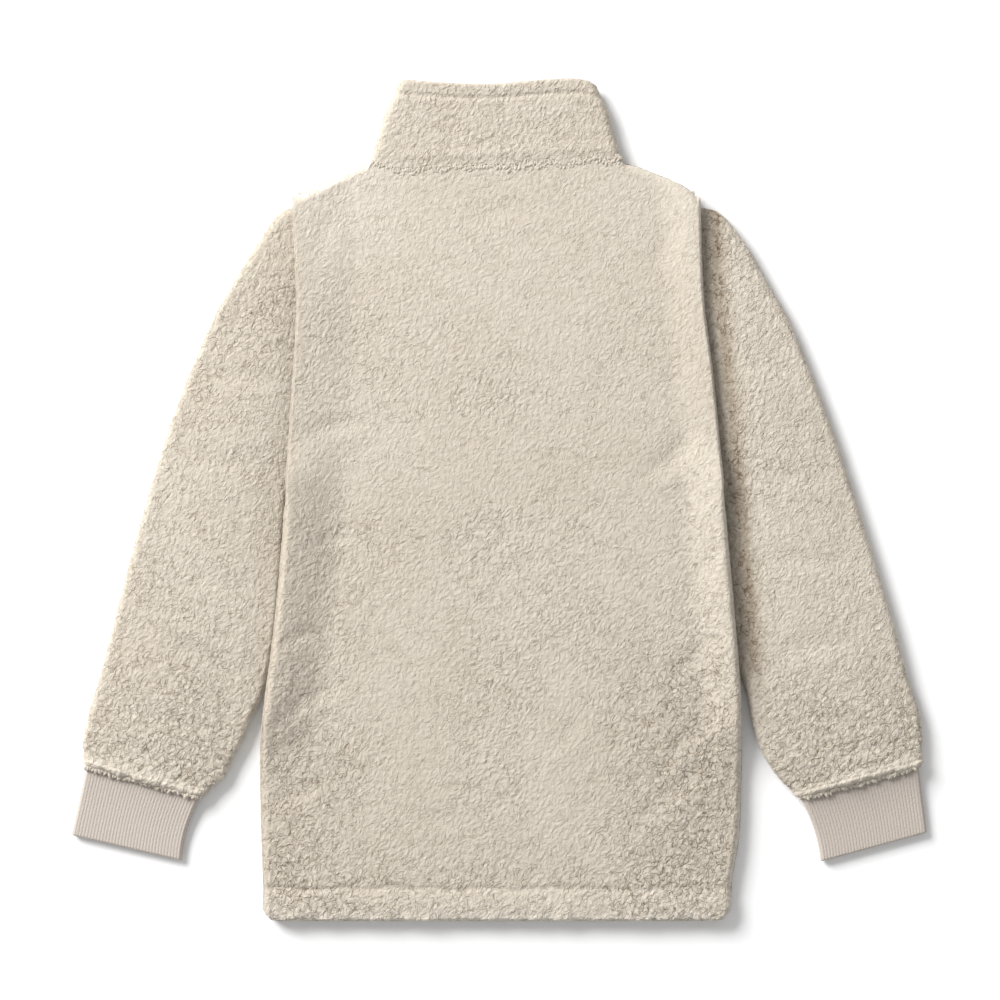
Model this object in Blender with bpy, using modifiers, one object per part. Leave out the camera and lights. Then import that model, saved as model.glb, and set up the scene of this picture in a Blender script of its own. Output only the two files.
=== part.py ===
"""Child's sherpa fleece jacket, laid flat on its front with the back up.

Sizes are in millimetres until a mesh is made. Across (x) is counted from the garment's centre line,
up the garment (y) from the hem, and height (z) from the surface that it lies on.
"""
import math

import bpy
import numpy as np
from mathutils import Matrix

MM = 0.001
GAP = 0.3                    # between sewn pieces

# Cloth
FLEECE = 6.0                 # sherpa with its pile
BODY_HEIGHT = 15.0           # back on front, with the air between them
SHOULDER_Y = 578.0           # the shoulder points, where the armholes start
SLEEVE_HEIGHT = 13.6
SLEEVE_CROWN = 2.0           # how far a sleeve's top swells in its middle
EDGE_REACH = 36.0            # width of the stretch by the side that lifts over a sleeve
HEM_BAND = 26.0              # turned-up hem, edge to stitching
HEM_CORNER = 12.0            # radius of the hem's corners
CORNER_LIMIT = 0.96          # share of that radius at which the rounding stops, so that no edge is upright
STITCH_GROOVE = 1.4          # depth where stitching pulls the pile down
HEM_GROOVE_REACH = 2.6       # half-width of the hem's groove
STEEPEST_SLANT = 0.3         # least sine between a sleeve's ring and its fold
SLEEVE_TUCK = 4.0            # how far a sleeve's mouth and fold lie under the body's edge
FRONT_DIP = 38.0             # front neckline below the back one
BULLNOSE_START = math.radians(20)
END_TURNS = (math.radians(40), math.radians(70))

# Rib cuffs
CUFF_HEIGHT = 5.8            # two layers, without the ribs
CUFF_WALL = 2.2
CUFF_RIBS = 74               # round the whole cuff
RIB_RISE = 0.8
CUFF_INSET = 4.0             # each end of a cuff's seam, in from the sleeve's folds
CUFF_RINGS = [               # share of the way from the seam to the open end, and height of the tube's middle
    (0.0, 6.8),
    (0.45, 4.5),
    (1.0, 3.7),
]

# Collar
COLLAR_RIDGE = 0.8           # roll of pile over the neck seam
RIDGE_PLACE = 8.5            # its crest above the seam
RIDGE_REACH = 4.5
COLLAR_STITCH = 12.4         # topstitching below the top edge
COLLAR_GROOVE_REACH = 2.2
# Rows up the collar: share of its height, and the turn from its open end to its face in degrees
COLLAR_ROWS = [
    (0.0, 20), (0.0, 90), (0.10, 90), (0.22, 90), (0.30, 90), (0.50, 90), (0.70, 90), (0.775, 90), (0.81, 90),
    (0.845, 90), (0.95, 90), (0.95, 45), (0.95, 20),
]
TOP_ROWS_FROM = 0.6          # rows above this share of the height are measured from the top edge
# A front's edge in section: shares of half the wall out from the edge and up from the wall's middle
NOSE_OUT = (0.06, 0.4, 1.0)
NOSE_RISE = (0.35, 0.8, 1.0)

# Zip
ZIP_GAP = 6.8                # centre line to each front's edge
CHAIN_WIDTH = 5.6
CHAIN_THICK = 2.4
ZIP_LEVEL = 4.6              # height of the chain's middle
TAPE_THICK = 0.8
TAPE_EDGE = 6.5              # centre line to each tape's outer edge
BOX_SIZE = (8.0, 7.0, 3.2)
BOX_BEVEL = 0.4
ZIP_START = 2.0              # lower end of the zip above the hem
SLIDER_SIZE = (9.4, 12.0, 3.8)
SLIDER_BEVEL = 0.6
SLIDER_MIDDLE = 618.0        # y of the slider's middle, at the top of the closed zip
BRIDGE_SIZE = (1.8, 8.0, 2.6)
BRIDGE_BAR = 0.65
BRIDGE_SINK = 0.2            # how far the bridge's legs run into the slider
PULL_SIZE = (7.0, 25.0, 1.0)
PULL_WINDOW = (3.8, 5.0)     # the hole that the slider's bridge passes through
PULL_BAR = 1.0
PULL_CORNER = 2.2

# The body's two edges, from the shoulder point down
BODY_EDGES = [
    dict(y=578, left=-163.2, right=162.4),
    dict(y=540, left=-161.5, right=163.4),
    dict(y=500, left=-160.1, right=165.4),
    dict(y=450, left=-162.4, right=171.4),
    dict(y=400, left=-165.6, right=176.4),
    dict(y=350, left=-168.6, right=180.8),
    dict(y=300, left=-172.2, right=185.1),
    dict(y=240, left=-177.6, right=190.4),
    dict(y=176, left=-185.6, right=195.2),
    dict(y=144, left=-189.2, right=196.0),
    dict(y=110, left=-189.8, right=195.8),
    dict(y=64, left=-188.8, right=193.8),
    dict(y=30, left=-187.6, right=188.6),
    dict(y=0, left=-187.2, right=187.0),
]

# How far the back and the front rise at the body's edges, and where the edge is an open armhole (1)
# or a closed side (0)
EDGE_LIFTS = [
    dict(y=600, back=5.8, front=0.0, opened=1),
    dict(y=386, back=5.8, front=0.0, opened=1),
    dict(y=350, back=11.2, front=12.6, opened=1),
    dict(y=328, back=11.2, front=12.6, opened=0),
    dict(y=300, back=10.8, front=10.8, opened=0),
    dict(y=176, back=10.8, front=10.8, opened=0),
    dict(y=112, back=0.0, front=0.0, opened=0),
    dict(y=0, back=0.0, front=0.0, opened=0),
]

# Shoulders and neck seam, from one shoulder point to the other
TOP_LINE = [
    dict(x=-163.2, y=578.0),
    dict(x=-146.4, y=585.6),
    dict(x=-118.4, y=598.0),
    dict(x=-101.6, y=604.5),
    dict(x=-77.6, y=600.0),
    dict(x=-37.6, y=601.4),
    dict(x=2.4, y=602.4),
    dict(x=57.6, y=605.0),
    dict(x=100.0, y=605.5),
    dict(x=123.2, y=598.4),
    dict(x=151.2, y=585.6),
    dict(x=162.4, y=576.0),
]
NECK_LEFT, NECK_RIGHT = -101.6, 100.0
NECK_STEPS = 8
# Where the panels' grid lines cross the shoulders, counted from the centre line
SHOULDER_STOPS = (-151.0, -140.0, -129.0, -117.0, 116.0, 128.0, 139.0, 150.0)
# and where they cross the sides, counted from the hem
SIDE_STOPS = (14.0, 22.0, HEM_BAND, 30.0, 42.0, 80.0, 112.0, 133.0, 155.0, 176.0, 235.0, 300.0,
              328.0, 339.0, 350.0, 368.0, 386.0, 430.0, 490.0, 545.0)

# The collar's side folds and its top edge
COLLAR_FOLDS = [
    dict(rise=0.00, left=-101.6, right=100.0),
    dict(rise=0.20, left=-98.0, right=97.4),
    dict(rise=0.40, left=-94.2, right=93.2),
    dict(rise=0.60, left=-90.0, right=90.4),
    dict(rise=0.80, left=-83.4, right=84.8),
    dict(rise=1.00, left=-77.6, right=79.2),
]
COLLAR_TOP = [
    dict(across=0.00, y=672.6),
    dict(across=0.16, y=670.6),
    dict(across=0.32, y=668.9),
    dict(across=0.50, y=668.8),
    dict(across=0.75, y=672.2),
    dict(across=0.92, y=672.2),
    dict(across=1.00, y=668.0),
]

# A sleeve's rings, from the armhole to the cuff. The outer end is on the sleeve's outline, the inner end
# on its fold beside the body.
SLEEVE_RINGS = [
    dict(outer_y=572, left=-159.0, right=158.9, inner_y=388),
    dict(outer_y=565, left=-175.0, right=179.5, inner_y=366),
    dict(outer_y=541, left=-192.5, right=199.5, inner_y=344),
    dict(outer_y=509, left=-212.0, right=217.5, inner_y=322),
    dict(outer_y=476, left=-230.0, right=236.0, inner_y=300),
    dict(outer_y=402, left=-260.0, right=265.5, inner_y=254),
    dict(outer_y=325, left=-284.0, right=291.0, inner_y=209),
    dict(outer_y=254, left=-303.0, right=313.3, inner_y=174),
    dict(outer_y=222, left=-311.0, right=322.0, inner_y=158),
    dict(outer_y=194, left=-318.6, right=329.2, inner_y=141),
    dict(outer_y=168, left=-326.5, right=338.0, inner_y=124),
    dict(outer_y=144, left=-331.5, right=341.2, inner_y=110),
    dict(outer_y=128, left=-330.5, right=339.5, inner_y=101),
]

# How far a sleeve's fold lies out from the body's edge once it leaves it
SLEEVE_FOLD = [
    dict(y=400, left=-4.0, right=-4.0),
    dict(y=350, left=-4.0, right=-4.0),
    dict(y=322, left=-2.8, right=-2.8),
    dict(y=208, left=-2.8, right=-2.8),
    dict(y=176, left=1.6, right=4.0),
    dict(y=160, left=7.4, right=6.2),
    dict(y=144, left=12.0, right=10.4),
    dict(y=128, left=20.2, right=17.8),
    dict(y=112, left=28.0, right=29.0),
    dict(y=100, left=43.0, right=42.5),
    dict(y=90, left=50.0, right=48.0),
]

# The two ends of each cuff's open edge and a point on its inner fold
CUFFS = {
    "left": dict(inner_side=(-247.6, 72.0), outer_end=(-340.0, 68.4), inner_end=(-251.5, 48.0)),
    "right": dict(inner_side=(253.5, 72.0), outer_end=(343.6, 70.4), inner_end=(258.4, 47.2)),
}

COLOURS = {
    "fleece": (0.66, 0.59, 0.49),
    "rib": (0.58, 0.50, 0.42),
    "tape": (0.62, 0.55, 0.45),
    "plastic": (0.60, 0.53, 0.43),
    "metal": (0.62, 0.60, 0.57),
}


def smooth_curve(rows, key, value):
    """A cubic through a table's rows, with the mean of the neighbouring slopes at each row."""
    rows = sorted(rows, key=lambda row: row[key])
    at = np.array([row[key] for row in rows], float)
    to = np.array([row[value] for row in rows], float)
    steps = np.diff(to) / np.diff(at)
    slopes = np.concatenate((steps[:1], (steps[1:] + steps[:-1]) / 2, steps[-1:]))

    def read(place):
        place = np.clip(place, at[0], at[-1])
        i = np.clip(np.searchsorted(at, place, side="right") - 1, 0, len(at) - 2)
        span = at[i + 1] - at[i]
        t = (place - at[i]) / span
        start = (1 + 2 * t) * (1 - t) ** 2 * to[i] + t * (1 - t) ** 2 * span * slopes[i]
        end = t * t * (3 - 2 * t) * to[i + 1] + t * t * (t - 1) * span * slopes[i + 1]
        return start + end

    return read


def eased_steps(rows, key, value):
    """Level at every row of a table, with an eased rise or fall between rows, so it never overshoots."""
    rows = sorted(rows, key=lambda row: row[key])
    at = np.array([row[key] for row in rows], float)
    to = np.array([row[value] for row in rows], float)

    def read(place):
        place = np.clip(place, at[0], at[-1])
        i = np.clip(np.searchsorted(at, place, side="right") - 1, 0, len(at) - 2)
        t = (place - at[i]) / (at[i + 1] - at[i])
        return to[i] + (to[i + 1] - to[i]) * t * t * (3 - 2 * t)

    return read


def body_edge(side):
    """The body's edge, straight between the panels' grid lines, which the sleeve's mouth then follows."""
    stops = np.concatenate(((0.0,), SIDE_STOPS, (SHOULDER_Y,)))
    places = smooth_curve(BODY_EDGES, "y", side)(stops)
    return lambda y: np.interp(y, stops, places)


left_edge, right_edge = body_edge("left"), body_edge("right")
back_lift = eased_steps(EDGE_LIFTS, "y", "back")
front_lift = eased_steps(EDGE_LIFTS, "y", "front")
side_opened = eased_steps(EDGE_LIFTS, "y", "opened")
top_line = smooth_curve(TOP_LINE, "x", "y")


def eased(t):
    t = np.clip(t, 0, 1)
    return t * t * (3 - 2 * t)


def neck_opened(x):
    """1 between the neck points, where the top edge is open for the collar, and 0 on the shoulders."""
    return eased((x - NECK_LEFT + 4) / 6) * eased((NECK_RIGHT + 4 - x) / 6)


neck_stops = np.linspace(NECK_LEFT, NECK_RIGHT, NECK_STEPS + 1)
shoulder_stops = np.array(SHOULDER_STOPS)
back_stops = np.sort(np.concatenate((neck_stops, shoulder_stops)))
front_edge = ZIP_GAP + FLEECE / 2
front_stops = np.sort(np.concatenate((
    np.delete(back_stops, len(back_stops) // 2), (-front_edge, front_edge))))


def front_neckline(x):
    """The front's top edge: the shoulders, and a neckline that dips below the back one."""
    across = np.clip((x - NECK_LEFT) / (NECK_RIGHT - NECK_LEFT), 0, 1)
    return top_line(x) - FRONT_DIP * (1 - (2 * across - 1) ** 2)


def neck_seam(x, on_front):
    """Height up the garment of the collar's seam, which runs straight between the panels' grid lines."""
    back = np.interp(x, back_stops, top_line(back_stops))
    front = np.interp(x, front_stops, front_neckline(front_stops))
    return back + (front - back) * on_front


def layer_heights(x, y):
    """Height of the back's upper face and of the fronts' under face."""
    near = (1 - eased((x - left_edge(y)) / EDGE_REACH)) + (1 - eased((right_edge(y) - x) / EDGE_REACH))
    return BODY_HEIGHT + back_lift(y) * near, front_lift(y) * near


def corner_rise(distance):
    """Rise of the hem line within a corner's radius of the side."""
    t = np.clip(1 - distance / HEM_CORNER, 0, CORNER_LIMIT)
    return HEM_CORNER * (1 - np.sqrt(1 - t * t))


def edge_profile(angle, opened, half_height, inner):
    """Inset, centre and half-thickness factors of a panel's edge at an angle from its end to its face.

    A closed edge rolls over a quarter circle to meet the other layer. An opened edge ends in a
    bullnose of the wall's own thickness.
    """
    nose = BULLNOSE_START + (math.pi / 2 - BULLNOSE_START) * angle / (math.pi / 2)
    if inner:
        roll_inset = FLEECE + (half_height - FLEECE) * (1 - np.cos(angle))
    else:
        roll_inset = half_height * (1 - np.cos(angle))
    nose_inset = FLEECE / 2 * (1 - np.cos(nose))
    inset = roll_inset + (nose_inset - roll_inset) * opened
    centre = np.sin(angle) + (1 - np.sin(angle)) * opened
    thick = np.sin(angle) + (np.sin(nose) - np.sin(angle)) * opened
    return inset, centre, thick


def panel_surface(left, right, top, opened_left, opened_right, stops, sign, inner):
    """Grid of points on one face of a panel. sign is 1 for the back and -1 for a front."""
    arc = np.radians((0, 30, 60, 90))
    hem_arc = np.radians((0, 40, 90))
    face = math.pi / 2
    low_x, high_x = float(left(SHOULDER_Y)) + FLEECE / 2, float(right(SHOULDER_Y)) - FLEECE / 2
    across = np.concatenate((np.zeros(len(arc)), (stops - low_x) / (high_x - low_x), np.ones(len(arc))))
    turn_x = np.concatenate((arc, np.full(len(stops), face), arc[::-1]))
    up = np.concatenate((np.zeros(len(hem_arc)), SIDE_STOPS, np.full(len(arc), np.inf)))
    turn_y = np.concatenate((hem_arc, np.full(len(SIDE_STOPS), face), arc[::-1]))
    across, up = np.meshgrid(across, up, indexing="ij")
    turn_x, turn_y = np.meshgrid(turn_x, turn_y, indexing="ij")
    at_hem, at_top = up == 0, np.isinf(up)

    top_y = top(low_x + (high_x - low_x) * across)
    y = np.where(at_top, top_y, up)
    upper, under = layer_heights(np.where(across < 0.5, left(y), right(y)), y)
    opened_x = np.where(across < 0.5, opened_left(y), opened_right(y))
    inset_x, centre_x, thick_x = edge_profile(turn_x, opened_x, (upper - under) / 2 - GAP / 2, inner)
    # Between the edges the inset fades from one side to the other.
    x = left(y) + (right(y) - left(y)) * across + inset_x * (1 - 2 * across)

    upper, under = layer_heights(x, y)
    opened_y = np.where(at_top, neck_opened(x), 1.0)
    inset_y, centre_y, thick_y = edge_profile(turn_y, opened_y, (upper - under) / 2 - GAP / 2, inner)
    hem_y = corner_rise(np.minimum(x - left_edge(0), right_edge(0) - x))
    y = np.where(at_top, top_y - inset_y, np.where(at_hem, hem_y + inset_y, up))

    upper, under = layer_heights(x, y)
    half = (upper - under) / 2 - GAP / 2
    middle = (upper + under) / 2 + sign * GAP / 2
    side = -1 if inner else 1
    height = (half - FLEECE / 2) * centre_x * centre_y + side * FLEECE / 2 * thick_x * thick_y
    if not inner:
        height = height - STITCH_GROOVE * thick_x * np.exp(-((y - HEM_BAND) / HEM_GROOVE_REACH) ** 2)
    return np.stack((x, y, middle + sign * height), axis=-1)


def grid_faces(across, up, offset=0, flip=False):
    i, j = np.meshgrid(np.arange(across - 1), np.arange(up - 1), indexing="ij")
    a = (offset + i * up + j).ravel()
    quads = np.stack((a, a + up, a + up + 1, a + 1), axis=-1)
    return quads[:, ::-1] if flip else quads


def sheet_solid(outer, inner):
    """Points and faces of a wall between two grids of the same count, closed round its four sides."""
    across, up = outer.shape[:2]
    points = np.concatenate((outer.reshape(-1, 3), inner.reshape(-1, 3)))
    size = across * up
    faces = [grid_faces(across, up), grid_faces(across, up, size, flip=True)]
    rim = np.concatenate((
        np.arange(0, across) * up,
        (across - 1) * up + np.arange(1, up),
        np.arange(across - 2, -1, -1) * up + up - 1,
        np.arange(up - 2, 0, -1),
    ))
    after = np.roll(rim, -1)
    faces.append(np.stack((after, rim, rim + size, after + size), axis=-1))
    return points, np.concatenate(faces)


def tube_solid(outer, inner):
    """Points and faces of a tube's wall between two stacks of closed rings."""
    rings, around = outer.shape[:2]
    size = rings * around
    points = np.concatenate((outer.reshape(-1, 3), inner.reshape(-1, 3)))
    i, j = np.meshgrid(np.arange(rings - 1), np.arange(around), indexing="ij")
    a, b = (i * around + j).ravel(), (i * around + (j + 1) % around).ravel()
    wall = np.stack((a, b, b + around, a + around), axis=-1)
    j = np.arange(around)
    k = (j + 1) % around
    last = (rings - 1) * around
    mouth = np.stack((k, j, j + size, k + size), axis=-1)
    end = np.stack((last + j, last + k, last + k + size, last + j + size), axis=-1)
    return points, np.concatenate((wall, wall[:, ::-1] + size, mouth, end))


def solid_object(name, points, faces, material, parts):
    """One closed mesh, in metres, its faces turned out."""
    a, b, c, d = (points[faces[:, k]] for k in range(4))
    volume = np.einsum("ij,ij->i", a, np.cross(b, c) + np.cross(c, d)).sum()
    if volume < 0:
        faces = faces[:, ::-1]
    mesh = bpy.data.meshes.new(name)
    mesh.from_pydata((points * MM).tolist(), [], faces.tolist())
    mesh.validate()
    mesh.materials.append(material)
    mesh.shade_smooth()
    thing = bpy.data.objects.new(name, mesh)
    parts.objects.link(thing)
    return thing


def back_panel(material, parts):
    faces_of = [panel_surface(left_edge, right_edge, top_line, side_opened, side_opened, back_stops,
                              1, inner) for inner in (False, True)]
    return solid_object("back", *sheet_solid(*faces_of), material, parts)


def front_panels(material, parts):
    def armhole(y):
        return (SLEEVE_TUCK + 2 * GAP) * side_opened(y)

    def always(y):
        return np.ones_like(y)

    left_stops = front_stops[front_stops < -front_edge]
    right_stops = front_stops[front_stops > front_edge]
    sides = {
        "front_left": (lambda y: left_edge(y) + armhole(y), lambda y: -ZIP_GAP + 0 * y,
                       side_opened, always, left_stops),
        "front_right": (lambda y: ZIP_GAP + 0 * y, lambda y: right_edge(y) - armhole(y),
                        always, side_opened, right_stops),
    }
    for name, (left, right, opened_left, opened_right, stops) in sides.items():
        faces_of = [panel_surface(left, right, front_neckline, opened_left, opened_right, stops,
                                  -1, inner) for inner in (False, True)]
        solid_object(name, *sheet_solid(*faces_of), material, parts)


def flat_ring(length, height, crown, inset, first_reach, last_reach):
    """Distances along a folded tube's width and heights of its section, from the outer fold round.

    The reaches are how far each fold's half-ellipse runs along the ring. They are longer where the ring
    crosses the fold at a slant, so that the fold itself stays round.
    """
    radius = height / 2 - inset
    arc = np.radians((-90, -50, 0, 50, 90))
    run = np.linspace(0, 1, 9)[1:-1]
    first = first_reach * (1 - radius / (height / 2) * np.cos(arc))
    second = length - last_reach * (1 - radius / (height / 2) * np.cos(arc))
    along_top = first_reach + (length - first_reach - last_reach) * run
    along = np.concatenate((first, along_top, second[::-1], along_top[::-1]))
    top = height - inset + crown * np.sin(math.pi * run)
    rise = np.concatenate((height / 2 + radius * np.sin(arc), top,
                           height / 2 + radius * np.sin(arc[::-1]), np.full(len(run), inset)))
    return along, rise


def sleeve_lines(side):
    """The rings' ends on a sleeve's outline and on its fold beside the body."""
    edge = left_edge if side == "left" else right_edge
    out = -1 if side == "left" else 1
    inner_y = np.array([float(ring["inner_y"]) for ring in SLEEVE_RINGS])
    fold = smooth_curve(SLEEVE_FOLD, "y", side)(inner_y)
    outlines = np.array([(ring[side], ring["outer_y"]) for ring in SLEEVE_RINGS], float)
    return outlines, np.column_stack((edge(inner_y) + out * fold, inner_y))


def ring_frame(outer, fold, side):
    """Length of a ring, its direction, and the direction down the sleeve square to it."""
    length = np.linalg.norm(fold - outer)
    along = (fold - outer) / length
    return length, along, np.array((along[1], -along[0])) * (1 if side == "left" else -1)


def sleeve(side, material, parts):
    edge = left_edge if side == "left" else right_edge
    out = -1 if side == "left" else 1
    last = len(SLEEVE_RINGS) - 1
    outlines, folds = sleeve_lines(side)
    stations = [(number, 0.0) for number in range(last + 1)] + [(last, turn) for turn in END_TURNS]

    def fold_reach(line, number, along_ring):
        """Length along a ring of a fold that is round where it is cut square."""
        run = line[min(number + 1, last)] - line[max(number - 1, 0)]
        slant = abs(run[0] * along_ring[1] - run[1] * along_ring[0]) / np.linalg.norm(run)
        return SLEEVE_HEIGHT / 2 / max(slant, STEEPEST_SLANT)

    def ring_loop(number, turn, inner):
        outer = outlines[number]
        length, along_ring, ahead = ring_frame(outer, folds[number], side)
        nose = FLEECE / 2 * (1 - math.cos(turn))
        inset = FLEECE - nose if inner else nose
        crown = SLEEVE_CROWN * float(eased(number / 3))
        reaches = [fold_reach(line, number, along_ring) for line in (outlines, folds)]
        along, rise = flat_ring(length, SLEEVE_HEIGHT, crown, inset, *reaches)
        plan = outer + along[:, None] * along_ring + ahead * FLEECE / 2 * math.sin(turn)
        # The first rings bow to follow the armhole.
        follow = max(0.0, 1 - number / 3)
        armhole = edge(plan[:, 1]) + out * -SLEEVE_TUCK
        straight = outer[0] + (plan[:, 1] - outer[1]) * along_ring[0] / along_ring[1]
        plan[:, 0] += (armhole - straight) * follow * np.sin(math.pi * np.clip(along / length, 0, 1))
        return np.column_stack((plan, rise))

    outer, inner = (np.array([ring_loop(number, turn, inner) for number, turn in stations])
                    for inner in (False, True))
    solid_object("sleeve_" + side, *tube_solid(outer, inner), material, parts)


def cuff(side, material, parts):
    corners = {name: np.array(point) for name, point in CUFFS[side].items()}
    outlines, folds = sleeve_lines(side)
    _, along_seam, ahead = ring_frame(outlines[-1], folds[-1], side)
    seam = ahead * (FLEECE / 2 * math.sin(END_TURNS[-1]) + GAP)
    corners["outer_top"] = outlines[-1] + along_seam * CUFF_INSET + seam
    corners["inner_top"] = folds[-1] - along_seam * CUFF_INSET + seam
    count = 2 * CUFF_RIBS

    def ring_loop(step, middle, inner):
        outer = corners["outer_top"] + (corners["outer_end"] - corners["outer_top"]) * step
        fold = ((1 - step) ** 2 * corners["inner_top"] + step ** 2 * corners["inner_end"]
                + 2 * step * (1 - step) * (2 * corners["inner_side"]
                                           - (corners["inner_top"] + corners["inner_end"]) / 2))
        width = np.linalg.norm(fold - outer)
        along_ring = (fold - outer) / width
        radius = CUFF_HEIGHT / 2 - (CUFF_WALL if inner else 0.0)
        run = width - CUFF_HEIGHT - 2 * RIB_RISE
        # Places round the folded tube, by length along its outer face.
        around = math.pi * CUFF_HEIGHT / 2
        place = np.arange(count) / count * (2 * run + 2 * around)
        turn = np.where(place < run, 0, np.where(place < run + around, (place - run) / around,
                        np.where(place < 2 * run + around, 1, 1 + (place - 2 * run - around) / around)))
        across = np.where(place < run, place, np.where(place < run + around, run, np.where(
            place < 2 * run + around, 2 * run + around - place, 0)))
        raised = np.zeros(count) if inner else RIB_RISE * (np.arange(count) % 2)
        reach = radius + raised
        along = CUFF_HEIGHT / 2 + RIB_RISE + across + reach * np.sin(math.pi * turn)
        rise = middle + reach * np.cos(math.pi * turn)
        return np.column_stack((outer + along[:, None] * along_ring, rise))

    loops = [np.array([ring_loop(step, middle, inner) for step, middle in CUFF_RINGS])
             for inner in (False, True)]
    solid_object("cuff_" + side, *tube_solid(*loops), material, parts)


def collar(material, parts):
    fold_left = smooth_curve(COLLAR_FOLDS, "rise", "left")
    fold_right = smooth_curve(COLLAR_FOLDS, "rise", "right")
    top_edge = smooth_curve(COLLAR_TOP, "across", "y")
    half = BODY_HEIGHT / 2

    def loop(rise, turn, inner):
        nose = FLEECE / 2 * (1 - math.sin(turn))
        inset = FLEECE - nose if inner else nose
        radius = half - inset
        left, right = float(fold_left(rise)), float(fold_right(rise))
        fold = np.radians((-90, -45, 0, 45, 90))
        steps = np.arange(1, NECK_STEPS) / NECK_STEPS
        middle = NECK_STEPS // 2 - 1
        # A front's edge in a bullnose, then its face as far as the fold
        lean = (inset - FLEECE / 2) * np.array(NOSE_RISE)
        edge_x = ZIP_GAP + FLEECE / 2 * np.array(NOSE_OUT)
        edge_z = FLEECE / 2 - half + lean
        x = np.concatenate((-edge_x, left + (right - left) * steps[:middle][::-1],
                            left + half - radius * np.cos(fold), left + (right - left) * steps,
                            right - half + radius * np.cos(fold[::-1]),
                            left + (right - left) * steps[middle + 1:][::-1], edge_x[::-1]))
        face = np.full(middle, -radius)
        z = np.concatenate((edge_z, face, radius * np.sin(fold), np.full(len(steps), radius),
                            radius * np.sin(fold[::-1]), face, edge_z[::-1]))
        turning = eased(0.5 - np.sin(fold) / 2)
        front = np.ones(len(edge_x) + middle)
        on_front = np.concatenate((front, turning, np.zeros(len(steps)), turning[::-1], front))
        across = np.clip((x - left) / (right - left), 0, 1)
        at_seam = NECK_LEFT + (NECK_RIGHT - NECK_LEFT) * across
        # The fronts' edges stay upright, so there the seam is read at their own place.
        at_seam[:3], at_seam[-3:] = -edge_x, edge_x[::-1]
        seam = neck_seam(at_seam, on_front) + GAP
        back_seam = neck_seam(at_seam, 0.0) + GAP
        tall = top_edge(across) - back_seam
        # The end rows lean over the wall's thickness as a bullnose.
        over = FLEECE / 2 * math.cos(turn)
        y = seam + tall * rise + (over if rise > TOP_ROWS_FROM else FLEECE / 2 - over)
        if not inner:
            ridge = COLLAR_RIDGE * np.exp(-((tall * rise - RIDGE_PLACE) / RIDGE_REACH) ** 2)
            groove = STITCH_GROOVE * np.exp(-((tall * (1 - rise) - COLLAR_STITCH) / COLLAR_GROOVE_REACH) ** 2)
            z = z + (ridge - groove) * (1 - on_front)
        return np.column_stack((x, y, half + z))

    outer, inner = (np.array([loop(rise, math.radians(turn), inner) for rise, turn in COLLAR_ROWS])
                    for inner in (False, True))
    solid_object("collar", *sheet_solid(outer, inner), material, parts)


def box(name, size, middle, material, parts, bevel=0.0):
    """A box of the given size in millimetres, with its middle at a point."""
    bpy.ops.mesh.primitive_cube_add(size=1)
    thing = bpy.context.active_object
    thing.name = thing.data.name = name
    thing.data.transform(Matrix.Diagonal([length * MM for length in size] + [1.0]))
    thing.location = [value * MM for value in middle]
    for collection in list(thing.users_collection):
        collection.objects.unlink(thing)
    parts.objects.link(thing)
    thing.data.materials.append(material)
    if bevel:
        rounding = thing.modifiers.new("rounded", "BEVEL")
        rounding.width = bevel * MM
        rounding.segments = 2
    return thing


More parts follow.
